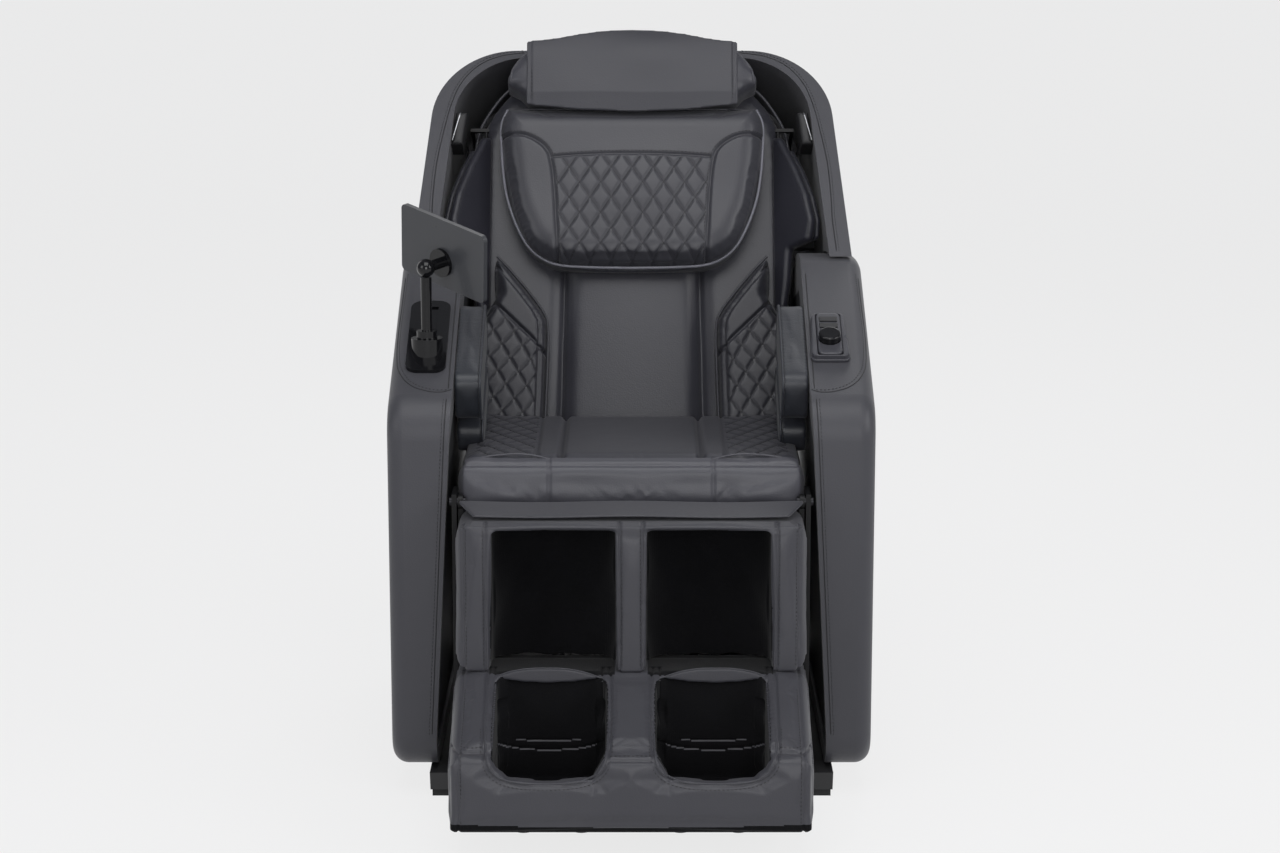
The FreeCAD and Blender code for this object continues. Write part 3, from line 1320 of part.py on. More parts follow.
def make_tablet_stand():
    plate = new_body("tablet_plate")
    half = "(case_width / 2)"
    outline = rectangle((f"-{half}", "-plate_front"), (half, "plate_rear"))
    pad(plate, polygon(plate, "XY_Plane", outline), "plate_thickness")
    round_edges(plate, "plate_corner", lambda edge: runs_along(edge, UP))
    slot = rectangle(("-plate_slot_half", "plate_slot_start"), ("plate_slot_half", "plate_slot_end"))
    pocket(plate, polygon(plate, "XY_Plane", slot, "plate_thickness"), "plate_slot_depth")
    finish(plate, "tablet_plate")
    plate.Placement = on_arm("-control_x", "post_y", 0.2)

    post = new_body("stand_post")
    foot = mm(arm_top("post_y") + " + plate_thickness + post_lift")
    top = "(knuckle_height - knuckle_radius - soft_gap)"
    collar = disc(post, "XY_Plane", "-control_x", "post_y", "post_radius + post_collar_wall", str(foot))
    pad(post, collar, "post_collar_height")
    shaft_start = f"({foot} + post_collar_height - weld_overlap)"
    shaft = disc(post, "XY_Plane", "-control_x", "post_y", "post_radius", shaft_start)
    pad(post, shaft, f"{top} - {shaft_start}")
    finish(post, "stand_post")

    boss_start = Vector(mm("-control_x"), mm("post_y"), foot - mm("post_socket_height + soft_gap"))
    boss = Part.makeCylinder(mm("post_radius + post_socket_wall"), mm("post_socket_height"), boss_start)
    blocker = Part.makeBox(400, 400, 200, Vector(-200, -200, mm("plate_thickness") - 200))
    blocker.Placement = on_arm("-control_x", "post_y", 0.2) * blocker.Placement
    finish(shaped("post_socket", boss.cut(blocker)), "post_socket")

    turned = Rotation(UP, -mm("tablet_yaw")) * Rotation(ACROSS, mm("tablet_tilt"))
    turned = turned * Rotation(TO_REAR, mm("tablet_roll")) * Rotation(-ACROSS, UP, TO_REAR, "XYZ")
    at_knuckle = Placement(Vector(mm("-control_x"), mm("post_y"), mm("knuckle_height")), turned)
    reach = mm("tablet_offset - tablet_thickness / 2")
    ball = Part.makeSphere(mm("knuckle_radius"))
    neck = Part.makeCylinder(mm("knuckle_neck_radius"), reach - mm("soft_gap"))
    flange = Part.makeCylinder(mm("flange_radius"), mm("flange_thickness"),
                               Vector(0, 0, reach - mm("soft_gap + flange_thickness")))
    finish(shaped("tablet_knuckle", ball.fuse([neck, flange]), at_knuckle), "tablet_knuckle")

    tablet = new_body("tablet")
    wide, low = "(tablet_width / 2)", "(tablet_lift - tablet_height / 2)"
    high = "(tablet_lift + tablet_height / 2)"
    back = "(tablet_offset - tablet_thickness / 2)"
    outline = rectangle((f"-{wide}", low), (wide, high))
    pad(tablet, polygon(tablet, "XY_Plane", outline, back), "tablet_thickness")
    round_edges(tablet, "tablet_corner", lambda edge: runs_along(edge, UP))
    glass = rectangle((f"-({wide} - screen_rim)", f"{low} + screen_rim"),
                      (f"{wide} - screen_rim", f"{high} - screen_rim"))
    pocket(tablet, polygon(tablet, "XY_Plane", glass, f"{back} + tablet_thickness"), "screen_recess")
    finish(tablet, "tablet")
    tablet.Placement = at_knuckle
    screen = new_body("tablet_screen")
    pane = polygon(screen, "XY_Plane", glass, f"{back} + tablet_thickness - screen_recess")
    pad(screen, pane, "screen_recess - soft_gap")
    finish(screen, "tablet_screen")
    screen.Placement = at_knuckle


def make_remote():
    case = new_body("remote_case")
    wide, long = "(case_width / 2 - remote_inset)", "(case_length / 2)"
    pad(case, polygon(case, "XY_Plane", rectangle((f"-{wide}", f"-{long}"), (wide, long))), "case_height")
    round_edges(case, "case_corner", lambda edge: runs_along(edge, UP))
    top = mm("case_height")
    round_edges(case, "case_edge", lambda edge: lies_at(edge, z=top))
    pocket(case, disc(case, "XY_Plane", "0", "-knob_offset", "knob_radius + 1", "case_height"), "knob_well")
    key_rows = (("button_lower", "key_start"), ("button_upper", "(key_start + key_pitch)"))
    for _, low in key_rows:
        well = rectangle(("-key_well_half", low), ("key_well_half", f"{low} + key_well_height"))
        pocket(case, polygon(case, "XY_Plane", well, "case_height"), "key_well_depth")
    finish(case, "remote_case")
    seat = on_arm("control_x - remote_shift", "control_y", 0.2)
    case.Placement = seat

    knob = new_body("knob")
    floor = "(case_height - knob_well + soft_gap)"
    pad(knob, disc(knob, "XY_Plane", "0", "0", "knob_radius", floor), "knob_height")
    knob_top = mm(f"{floor} + knob_height")
    round_edges(knob, "knob_edge", lambda edge: lies_at(edge, z=knob_top))
    finish(knob, "knob")
    knob.Placement = seat * Placement(Vector(0, -mm("knob_offset"), 0), Rotation())

    for label, low in key_rows:
        button = new_body(label)
        face = rectangle(("-(key_well_half - key_gap)", f"{low} + key_gap"),
                         ("key_well_half - key_gap", f"{low} + key_well_height - key_gap"))
        floor = "case_height - key_well_depth + button_travel + soft_gap"
        pad(button, polygon(button, "XY_Plane", face, floor), "key_height")
        finish(button, label)
        button.Placement = seat


for make in (make_arms, make_arm_pads, make_chassis, make_pins, make_skirts_and_feet, make_wheels,
             make_inner_machines, make_base_cover, make_seat, make_hood, make_back_frame,
             make_rails_and_carriage, make_knead_arms, make_rear_cover, make_back_cushions,
             make_head_pad_and_flap, make_pillow, make_wings, make_leg_frame, make_calf, make_foot,
             make_tablet_stand, make_remote):
    make()

document.recompute()
for thing in document.Objects:
    states = set(thing.State)
    assert not states & {"Invalid", "Error"}, f"{thing.Label} did not build"
for thing in finished:
    assert not thing.Shape.isNull() and thing.Shape.isValid(), f"{thing.Label} has no sound shape"
for thing in finished:
    thing.Shape.exportStep(os.path.join("parts", thing.Label + ".step"))
print(len(finished), "sub-parts")
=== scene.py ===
import math
import bmesh
import bpy
import numpy as np
from mathutils import Matrix, Vector
from mathutils.bvhtree import BVHTree


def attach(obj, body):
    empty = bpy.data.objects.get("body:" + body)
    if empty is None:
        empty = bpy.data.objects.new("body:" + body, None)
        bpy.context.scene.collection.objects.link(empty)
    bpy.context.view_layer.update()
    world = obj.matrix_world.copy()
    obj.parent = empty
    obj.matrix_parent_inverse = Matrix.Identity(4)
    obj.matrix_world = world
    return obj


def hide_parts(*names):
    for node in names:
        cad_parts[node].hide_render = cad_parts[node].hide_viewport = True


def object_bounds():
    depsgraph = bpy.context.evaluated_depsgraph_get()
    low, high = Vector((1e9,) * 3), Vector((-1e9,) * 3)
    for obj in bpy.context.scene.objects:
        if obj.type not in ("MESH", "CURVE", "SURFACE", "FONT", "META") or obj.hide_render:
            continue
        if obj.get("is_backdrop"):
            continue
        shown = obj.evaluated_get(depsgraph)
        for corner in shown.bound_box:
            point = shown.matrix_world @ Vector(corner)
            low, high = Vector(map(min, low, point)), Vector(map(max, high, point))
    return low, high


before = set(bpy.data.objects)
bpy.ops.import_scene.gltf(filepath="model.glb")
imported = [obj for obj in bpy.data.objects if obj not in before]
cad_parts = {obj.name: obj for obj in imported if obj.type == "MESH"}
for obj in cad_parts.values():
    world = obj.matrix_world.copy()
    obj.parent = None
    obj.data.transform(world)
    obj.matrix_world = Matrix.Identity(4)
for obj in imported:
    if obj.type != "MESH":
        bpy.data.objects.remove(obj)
cad_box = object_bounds()
scene = bpy.context.scene
scene.view_settings.view_transform = "Standard"


# Studio: a pale floor that curves up into a backdrop, soft boxes on both sides
# and above, and the camera where the photograph was taken, looking slightly down.

def linear(code):
    """An sRGB hex colour as a linear one."""
    parts = [int(code[start:start + 2], 16) / 255 for start in (1, 3, 5)]
    return [p / 12.92 if p <= 0.04045 else ((p + 0.055) / 1.055) ** 2.4 for p in parts] + [1.0]


def add_node(tree, kind, inputs=None, **settings):
    """Add a node, change its settings, and set or link its inputs."""
    made = tree.nodes.new(kind)
    for name, value in settings.items():
        setattr(made, name, value)
    for name, value in (inputs or {}).items():
        if isinstance(value, bpy.types.NodeSocket):
            tree.links.new(value, made.inputs[name])
        else:
            made.inputs[name].default_value = value
    return made


def new_material(name):
    made = bpy.data.materials.new(name)
    made.use_nodes = True
    made.node_tree.nodes.clear()
    return made, made.node_tree


def own_space(tree):
    """Places measured in the piece itself."""
    return add_node(tree, "ShaderNodeTexCoord").outputs["Object"]


def speckle(tree, at, scale, detail=2.0, **more):
    """Soft noise between nought and one."""
    noise = add_node(tree, "ShaderNodeTexNoise", {"Vector": at, "Scale": scale, "Detail": detail} | more)
    return noise.outputs["Fac"]


def toned(tree, share, dark, light):
    """A colour between two."""
    mix = add_node(tree, "ShaderNodeMixRGB", {"Fac": share, "Color1": linear(dark), "Color2": linear(light)})
    return mix.outputs["Color"]


def bumped(tree, height, strength, distance):
    """Facings bent by a height."""
    bump = add_node(tree, "ShaderNodeBump", {"Height": height, "Strength": strength, "Distance": distance})
    return bump.outputs["Normal"]


def between(tree, share, low, high):
    """A number between two."""
    spread = add_node(tree, "ShaderNodeMapRange", {"Value": share, "To Min": low, "To Max": high})
    return spread.outputs["Result"]


def surfaced(tree, inputs):
    """Close a material with one surface shader."""
    skin = add_node(tree, "ShaderNodeBsdfPrincipled", inputs)
    add_node(tree, "ShaderNodeOutputMaterial", {"Surface": skin.outputs["BSDF"]})


def new_object(name, data):
    made = bpy.data.objects.new(name, data)
    scene.collection.objects.link(made)
    return made


camera = new_object("camera", bpy.data.cameras.new("camera"))
camera.data.sensor_width = 36
camera.data.lens = 84.375
camera.location = (0.014, -5.014, 1.62)
look_down = 11.9
camera.rotation_euler = (math.radians(90 - look_down), 0, 0)
scene.camera = camera

paper, tree = new_material("matt_backdrop_paper")
tone = add_node(tree, "ShaderNodeTexNoise", {"Scale": 0.8, "Detail": 3.0})
shade = toned(tree, tone.outputs["Fac"], "#dfe0e3", "#e6e6e8")
surface = add_node(tree, "ShaderNodeBsdfPrincipled", {"Base Color": shade, "Roughness": 0.75})
white = add_node(tree, "ShaderNodeEmission", {"Color": linear("#f3f3f3"), "Strength": 1.0})
ray = add_node(tree, "ShaderNodeLightPath").outputs
seen = ray["Is Camera Ray"]
for kind, other in (("MAXIMUM", ray["Is Glossy Ray"]), ("MAXIMUM", ray["Is Transmission Ray"]),
                    ("MULTIPLY", 0.88)):
    seen = add_node(tree, "ShaderNodeMath", {0: seen, 1: other}, operation=kind).outputs["Value"]
lift = add_node(tree, "ShaderNodeMixShader", {
    "Fac": seen, 1: surface.outputs["BSDF"], 2: white.outputs["Emission"]})
add_node(tree, "ShaderNodeOutputMaterial", {"Surface": lift.outputs["Shader"]})

floor_half, floor_front, wall_y, wall_top, bend, bend_steps = 12.0, -9.0, 9.5, 9.0, 2.5, 16
profile = [(floor_front, 0.0), (wall_y - bend, 0.0)]
for step in range(1, bend_steps + 1):
    turn = math.radians(90 * step / bend_steps)
    profile.append((wall_y - bend + bend * math.sin(turn), bend - bend * math.cos(turn)))
profile.append((wall_y, wall_top))
mesh = bpy.data.meshes.new("studio_floor")
points = [(side * floor_half, y, z) for y, z in profile for side in (-1, 1)]
faces = [(2 * n, 2 * n + 1, 2 * n + 3, 2 * n + 2) for n in range(len(profile) - 1)]
mesh.from_pydata(points, [], faces)
mesh.polygons.foreach_set("use_smooth", [True] * len(faces))
floor = new_object("studio_floor", mesh)
floor.data.materials.append(paper)
floor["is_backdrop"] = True

scene.world = bpy.data.worlds.new("studio_air")
scene.world.use_nodes = True
tree = scene.world.node_tree
tree.nodes.clear()
air = add_node(tree, "ShaderNodeBackground", {"Color": linear("#eceff8"), "Strength": 0.30})
add_node(tree, "ShaderNodeOutputWorld", {"Surface": air.outputs["Background"]})

for name, place, aim, size, power in (
        ("box_over", (0.0, -1.6, 3.6), (0.0, 0.0, 0.6), 2.4, 62),
        ("box_front", (0.3, -5.2, 1.5), (0.0, 0.0, 0.6), 2.0, 70),
        ("box_left", (-3.2, -2.4, 2.0), (0.0, 0.0, 0.6), 2.0, 34),
        ("box_right", (3.2, -1.8, 2.2), (0.0, 0.0, 0.6), 2.0, 56),
        ("box_rear", (0.6, 3.0, 3.4), (0.0, 0.3, 0.9), 1.6, 30)):
    lamp = bpy.data.lights.new(name, "AREA")
    lamp.shape = "SQUARE"
    lamp.size = size
    lamp.energy = power
    holder = new_object(name, lamp)
    holder.location = place
    holder.rotation_euler = (Vector(aim) - Vector(place)).to_track_quat("-Z", "Y").to_euler()


# Arms: moulded shells wrapped in charcoal leather, with a sewn cap along the top
# and a plastic lining inside. The leather is glued on, so it follows the shell.

# each leather piece below is a copy of the one charcoal leather, its tone set lighter or darker, and on the
# wings and arm pads bluer, to how brightly that piece is lit: painted light and shade
def leather(name, dark, light, roughness, grain_mm=2.6):
    """Embossed polyurethane leather: satin, finely pebbled, slightly uneven in tone."""
    made, tree = new_material(name)
    at = own_space(tree)
    cloud = speckle(tree, at, 7.0, 5.0, Roughness=0.6)
    # the real grain is about 1 mm, drawn coarser so that it shows
    grain = add_node(tree, "ShaderNodeTexVoronoi", {
        "Vector": at, "Scale": 1000 / grain_mm, "Randomness": 0.9}).outputs["Distance"]
    height = add_node(tree, "ShaderNodeMath", {0: speckle(tree, at, 45.0, 3.0), 1: 1.6, 2: grain},
                      operation="MULTIPLY_ADD")
    surfaced(tree, {"Base Color": toned(tree, cloud, dark, light),
                    "Specular IOR Level": 0.42, "Sheen Weight": 0.08,
                    "Roughness": between(tree, cloud, roughness - 0.05, roughness + 0.07),
                    "Normal": bumped(tree, height.outputs["Value"], 0.22, 0.0006)})
    return made


def dress(thing, *finishes):
    """Give a piece its materials and smooth shading."""
    thing.data.materials.clear()
    for finish in finishes:
        thing.data.materials.append(finish)
    thing.data.polygons.foreach_set("use_smooth", [True] * len(thing.data.polygons))
    return thing


def smooth_line(points, step=0.004):
    """A smooth line through given points, evenly divided."""
    known = [Vector(point) for point in points]
    known = [2 * known[0] - known[1]] + known + [2 * known[-1] - known[-2]]
    line = []
    for before, start, end, after in zip(known, known[1:], known[2:], known[3:]):
        count = max(2, round((end - start).length / step))
        for number in range(count):
            t = number / count
            line.append(0.5 * (2 * start + (end - before) * t
                               + (2 * before - 5 * start + 4 * end - after) * t ** 2
                               + (3 * start - before - 3 * end + after) * t ** 3))
    return line + [known[-2]]


def skin_of(*things):
    """The surfaces of finished pieces, for laying seams and piping on."""
    corners, faces = [], []
    for thing in things:
        start = len(corners)
        corners += [corner.co for corner in thing.data.vertices]
        faces += [[start + number for number in face.vertices] for face in thing.data.polygons]
    return BVHTree.FromPolygons(corners, faces)


def laid(line, skin, way, lift=0.0, reach=0.4):
    """Drop a line onto a skin along a direction, leaving out what misses it."""
    way = Vector(way).normalized()
    found = []
    for point in line:
        spot, facing, number, distance = skin.ray_cast(Vector(point) - way * reach, way)
        if spot is not None:
            found.append(spot + facing * lift)
    return found


# stitches lie just proud of the skin, and the painted seam-shade lines of the quilting half as much
stitch_lift, quilt_lift = 0.0002, 0.0001


def laid_on_front(line, skin, lift=stitch_lift):
    """Drop a line drawn across and up onto the front of a skin."""
    return laid([(across, 0, up) for across, up in line], skin, rearward, lift, 0.8)


def line_tree(name, sizes):
    """A node tree that takes lines and a material, and the sizes by name."""
    tree = bpy.data.node_groups.new(name, "GeometryNodeTree")
    sockets = {}
    for label, kind in (("Lines", "Geometry"), *((size, "Float") for size in sizes), ("Finish", "Material")):
        sockets[label] = tree.interface.new_socket(label, in_out="INPUT", socket_type="NodeSocket" + kind)
    tree.interface.new_socket("Made", in_out="OUTPUT", socket_type="NodeSocketGeometry")
    entry = add_node(tree, "NodeGroupInput")
    path = add_node(tree, "GeometryNodeMeshToCurve", {"Mesh": entry.outputs["Lines"]})
    return tree, sockets, entry, path


def close_tree(tree, made, entry):
    """Give what a node tree makes its material, and hand it out."""
    dressed = add_node(tree, "GeometryNodeSetMaterial", {
        "Geometry": made, "Material": entry.outputs["Finish"]})
    add_node(tree, "NodeGroupOutput", {"Made": dressed.outputs["Geometry"]})


# lockstitch in thick thread: the real one is 4 mm long, drawn at 6.5 mm so that it shows
stitch_row, stitch_sockets, entry, path = line_tree("lockstitch_rows", ("Pitch", "Length", "Thread"))
even = add_node(stitch_row, "GeometryNodeResampleCurve", {
    "Curve": path.outputs["Curve"], "Length": entry.outputs["Pitch"]}, mode="LENGTH")
bead = add_node(stitch_row, "GeometryNodeMeshUVSphere", {"Segments": 6, "Rings": 4, "Radius": 0.5})
along = add_node(stitch_row, "GeometryNodeInputTangent").outputs["Tangent"]
turn = add_node(stitch_row, "FunctionNodeAlignRotationToVector", {"Vector": along}, axis="X")
wide = entry.outputs["Thread"]
shape = add_node(stitch_row, "ShaderNodeCombineXYZ", {"X": entry.outputs["Length"], "Y": wide, "Z": wide})
row = add_node(stitch_row, "GeometryNodeInstanceOnPoints", {
    "Points": even.outputs["Curve"], "Instance": bead.outputs["Mesh"], "Rotation": turn.outputs["Rotation"],
    "Scale": shape.outputs["Vector"]})
whole = add_node(stitch_row, "GeometryNodeRealizeInstances", {"Geometry": row.outputs["Instances"]})
close_tree(stitch_row, whole.outputs["Geometry"], entry)

piping_run, piping_sockets, entry, path = line_tree("piping_along_lines", ("Radius",))
ring = add_node(piping_run, "GeometryNodeCurvePrimitiveCircle", {
    "Resolution": 8, "Radius": entry.outputs["Radius"]})
tube = add_node(piping_run, "GeometryNodeCurveToMesh", {
    "Curve": path.outputs["Curve"], "Profile Curve": ring.outputs["Curve"], "Fill Caps": True})
close_tree(piping_run, tube.outputs["Mesh"], entry)


def settle(thing):
    """Work a piece's modifiers into its mesh."""
    bpy.context.view_layer.update()
    shown = thing.evaluated_get(bpy.context.evaluated_depsgraph_get())
    made = bpy.data.meshes.new_from_object(shown)
    thing.modifiers.clear()
    thing.data = made
    return thing


def run_along(name, lines, tree, sockets, body, values):
    """Make stitches or piping along lines, as one plain mesh riding on a body."""
    mesh = bpy.data.meshes.new(name)
    points, edges = [], []
    for line in lines:
        edges += [(number, number + 1) for number in range(len(points), len(points) + len(line) - 1)]
        points += line
    mesh.from_pydata(points, edges, [])
    thing = new_object(name, mesh)
    maker = thing.modifiers.new("maker", "NODES")
    maker.node_group = tree
    for size, value in values.items():
        maker[sockets[size].identifier] = value
    settle(thing)
    thing.data.polygons.foreach_set("use_smooth", [True] * len(thing.data.polygons))
    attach(thing, body)
    return thing


thread, tree = new_material("bonded_black_nylon_thread")
twist = speckle(tree, own_space(tree), 900.0)
surfaced(tree, {"Base Color": toned(tree, twist, "#0d0d0e", "#1c1c1e"), "Roughness": 0.6})


def sewn(name, lines, body, pitch=0.0065):
    """Rows of stitches along lines."""
    return run_along(name, lines, stitch_row, stitch_sockets, body,
                     {"Pitch": pitch, "Length": pitch * 0.68, "Thread": 0.0013, "Finish": thread})


def piped(name, lines, body, radius, finish):
    """Piping, a folded lip, or a dark line of painted seam shade, along lines."""
    return run_along(name, lines, piping_run, piping_sockets, body, {"Radius": radius, "Finish": finish})


def both_sides(lines):
    """Lines of the right side and the same lines mirrored to the left."""
    return lines + [[Vector((-point.x, point.y, point.z)) for point in line] for line in lines]


arm_leather = leather("embossed_arm_leather", "#333338", "#3a3a3f", 0.48)
# a near-black copy of the leather, laid in thin tubes along seams and quilting lines: painted seam shade
seam_shadow = leather("painted_seam_shadow_leather", "#0d0d11", "#141418", 0.6)


def finish_nodes(names, finish):
    """Dress pieces that keep their CAD form."""
    for name in names.split():
        dress(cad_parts[name], finish)


finish_nodes("side_panel_l side_panel_r", arm_leather)

arm_skin = skin_of(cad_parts["side_panel_r"])
down, rearward = (0, 0, -1), (0, 1, 0)
cap_edge = [(0.292, -0.243), (0.305, -0.249), (0.323, -0.249), (0.339, -0.244), (0.353, -0.237),
            (0.368, -0.222), (0.378, -0.201), (0.384, -0.178), (0.388, -0.133), (0.389, -0.080),
            (0.388, -0.020), (0.387, 0.060)]
inner_edge = [(0.298 + (0.68 - z) * 0.052, z) for z in (0.664, 0.58, 0.50, 0.40, 0.30, 0.20, 0.11)]
cap_seam = laid(smooth_line([(x, y, 0.5) for x, y in cap_edge]), arm_skin, down)
front_seam = laid_on_front(smooth_line(inner_edge), arm_skin, 0.0)
top_seam = laid(smooth_line([(0.297, y, 0.5) for y in (0.06, -0.05, -0.15, -0.24)]), arm_skin, down)
# dark tubes along the arm seams: painted seam shade; the stitches beside them are thread
piped("arm_seam_shadows", both_sides([cap_seam, front_seam, top_seam]), "base", 0.0009, seam_shadow)
beside_cap = smooth_line([(x - 0.004, y + 0.005, 0.5) for x, y in cap_edge[1:]])
beside_front = smooth_line([(x + 0.0045, z) for x, z in inner_edge])
sewn("arm_stitches", both_sides([laid(beside_cap, arm_skin, down, stitch_lift),
                                 laid_on_front(beside_front, arm_skin)]), "base")


def moulded(name, dark, light, roughness):
    """Moulded ABS with a fine spark-eroded texture: dull, even, no shine."""
    made, tree = new_material(name)
    at = own_space(tree)
    wide = speckle(tree, at, 5.0)
    surfaced(tree, {"Base Color": toned(tree, wide, dark, light),
                    "Roughness": between(tree, wide, roughness - 0.04, roughness + 0.06),
                    "Normal": bumped(tree, speckle(tree, at, 700.0), 0.15, 0.0003)})
    return made


black_abs = moulded("spark_textured_black_abs", "#18181a", "#1e1e20", 0.55)
finish_nodes("arm_lining_l arm_lining_r base_rail_l base_rail_r air_pump power_box base_cover rear_cover "
             "speaker_pod_l speaker_pod_r knead_rollers_l knead_rollers_r", black_abs)


# Chassis, hinges and massage mechanism: welded steel tube and plate, powder
# coated black, with ground steel pins, rails and screw. Hidden while in use.

def powder_coat(name, dark, light):
    """Powder-coated steel: orange-peel skin, dull sheen."""
    made, tree = new_material(name)
    at = own_space(tree)
    surfaced(tree, {"Base Color": toned(tree, speckle(tree, at, 9.0), dark, light),
                    "Roughness": 0.42, "Specular IOR Level": 0.2,
                    "Normal": bumped(tree, speckle(tree, at, 320.0, 1.0), 0.25, 0.0004)})
    return made


def ground_steel(name, tint):
    """Ground and oiled steel: fine lines round the bar."""
    made, tree = new_material(name)
    squeeze = add_node(tree, "ShaderNodeMapping", {"Vector": own_space(tree), "Scale": (900.0, 60.0, 60.0)})
    lines = speckle(tree, squeeze.outputs["Vector"], 1.0)
    surfaced(tree, {"Base Color": linear(tint), "Metallic": 1.0,
                    "Roughness": between(tree, lines, 0.24, 0.38),
                    "Normal": bumped(tree, lines, 0.2, 0.0002)})
    return made


bright_steel = ground_steel("ground_bright_steel", "#b9babd")
finish_nodes("base_frame back_frame leg_frame seat_pan recline_actuator leg_actuator carriage knead_arm_l "
             "knead_arm_r", powder_coat("black_powder_coated_steel", "#0d0d0e", "#141415"))
finish_nodes("wheel_axle guide_rails lift_screw foot_rods", bright_steel)
finish_nodes("hinge_pins", ground_steel("oil_blackened_steel", "#2a2a2c"))


# Feet and rear wheels: moulded rubber pads under the skirts, and two wheels
# just clear of the floor for rolling the chair when it is tipped back.

rubber, tree = new_material("moulded_black_rubber")
bloom = speckle(tree, own_space(tree), 60.0, 4.0)
surfaced(tree, {"Base Color": toned(tree, bloom, "#141414", "#222222"), "Roughness": 0.8,
                "Normal": bumped(tree, bloom, 0.3, 0.0005)})
finish_nodes("rubber_feet rear_wheel_l rear_wheel_r", rubber)


# Seat cushion: foam under soft leather, with an upright front face in three
# panels, and two puckered lips in its top seam. The cover is sewn, then filled.

seat_leather = leather("soft_seat_leather", "#3b3b41", "#44444a", 0.42)


def cut_form(outline, low, high, turn):
    """A flat outline filled between two depths, and set in place."""
    mesh = bpy.data.meshes.new("cut_form")
    work = bmesh.new()
    near = [work.verts.new(turn @ Vector((across, low, up))) for across, up in outline]
    far = [work.verts.new(turn @ Vector((across, high, up))) for across, up in outline]
    work.faces.new(near)
    work.faces.new(far)
    for number in range(len(outline)):
        following = (number + 1) % len(outline)
        work.faces.new((near[number], near[following], far[following], far[number]))
    bmesh.ops.recalc_face_normals(work, faces=work.faces)
    bmesh.ops.triangulate(work, faces=work.faces)
    work.to_mesh(mesh)
    work.free()
    return mesh


def welded(node):
    """A copy of a CAD form with its loose triangles joined."""
    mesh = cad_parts[node].data.copy()
    work = bmesh.new()
    work.from_mesh(mesh)
    bmesh.ops.remove_doubles(work, verts=work.verts, dist=1e-5)
    work.to_mesh(mesh)
    work.free()
    return mesh


def even_skin(name, mesh, voxel, wear_rounds):
    """The form as one even skin, with its edges worn round."""
    thing = new_object(name, mesh)
    skin = thing.modifiers.new("skin", "REMESH")
    skin.mode = "VOXEL"
    skin.voxel_size = voxel
    wear = thing.modifiers.new("wear", "SMOOTH")
    wear.factor = 0.5
    wear.iterations = wear_rounds
    return settle(thing)


def corners_of(thing, kind="co"):
    flat = np.zeros(len(thing.data.vertices) * 3)
    thing.data.vertices.foreach_get(kind, flat)
    return flat.reshape(-1, 3)


def facings_of(thing):
    return corners_of(thing, "normal")


def set_corners(thing, corners):
    thing.data.vertices.foreach_set("co", corners.ravel())
    thing.data.update()


def inflate(thing, swell, hold=None, pressure=4.0):
    """Let the filling swell the cover as air would, up to a limit, except where it is held."""
    start = corners_of(thing)
    cloth = thing.modifiers.new("filling", "CLOTH")
    cloth.settings.quality = 4
    cloth.settings.use_pressure = True
    cloth.settings.uniform_pressure_force = pressure
    cloth.settings.effector_weights.gravity = 0
    for number in range(1, 21):
        scene.frame_set(number)
    settle(thing)
    scene.frame_set(1)
    move = corners_of(thing) - start
    length = np.linalg.norm(move, axis=1, keepdims=True) + 1e-9
    move *= np.minimum(1, swell / length)
    if hold is not None:
        move *= hold(start)[:, None]
    set_corners(thing, start + move)
    fine = thing.modifiers.new("fine", "SUBSURF")
    fine.levels = fine.render_levels = 1
    return settle(thing)


def press(thing, depth_of):
    """Press the skin in along its own facing by a depth worked out from where it is."""
    corners = corners_of(thing)
    set_corners(thing, corners - facings_of(thing) * depth_of(corners)[:, None])


def groove(distance, width, depth):
    """A rounded valley across a seam."""
    return depth * np.exp(-(distance / width) ** 2)


def soft_cover(thing, finish, body, node, fill, *more):
    """Finish a padded piece: leather, the body it rides on, and the CAD form it stands for."""
    dress(thing, finish, *more)
    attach(thing, body)
    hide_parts(node)
    return thing


seat_seam_x, seat_half, seat_face_y, seat_rear_y = 0.133, 0.2765, -0.2945, 0.088
seat_bottom, seat_top = 0.452, 0.567
seat_profile = [(seat_rear_y, seat_bottom), (-0.255, seat_bottom), (seat_face_y + 0.009, 0.468),
                (seat_face_y, 0.498), (seat_face_y + 0.004, 0.548), (seat_face_y + 0.014, 0.563),
                (seat_face_y + 0.03, seat_top), (seat_rear_y, seat_top)]
sideways = Matrix(((0, 1, 0, 0), (1, 0, 0, 0), (0, 0, 1, 0), (0, 0, 0, 1)))
seat = even_skin("seat_cover", cut_form(seat_profile, -seat_half, seat_half, sideways), 0.005, 3)
inflate(seat, 0.005, lambda at: np.clip((at[:, 2] - 0.458) / 0.02, 0, 1))
quilt_cell = np.array([[0.0148, 0.025], [0.0215, -0.0224]])


def quilt(across, up, cell, depth=0.0024, line=0.0024):
    """Depth of diamond quilting between two sets of stitched lines."""
    steps = np.linalg.inv(cell.T) @ np.vstack((across, up))
    area = abs(np.linalg.det(cell))
    near = [np.abs(row - np.round(row)) * area / np.linalg.norm(side) for row, side in zip(steps, cell[::-1])]
    near = np.minimum(*near)
    puff = 1 - np.clip(near / (area / np.linalg.norm(cell[0]) / 2), 0, 1)
    return depth * (0.7 * np.exp(-(near / line) ** 2) + 0.3 * puff ** 2)


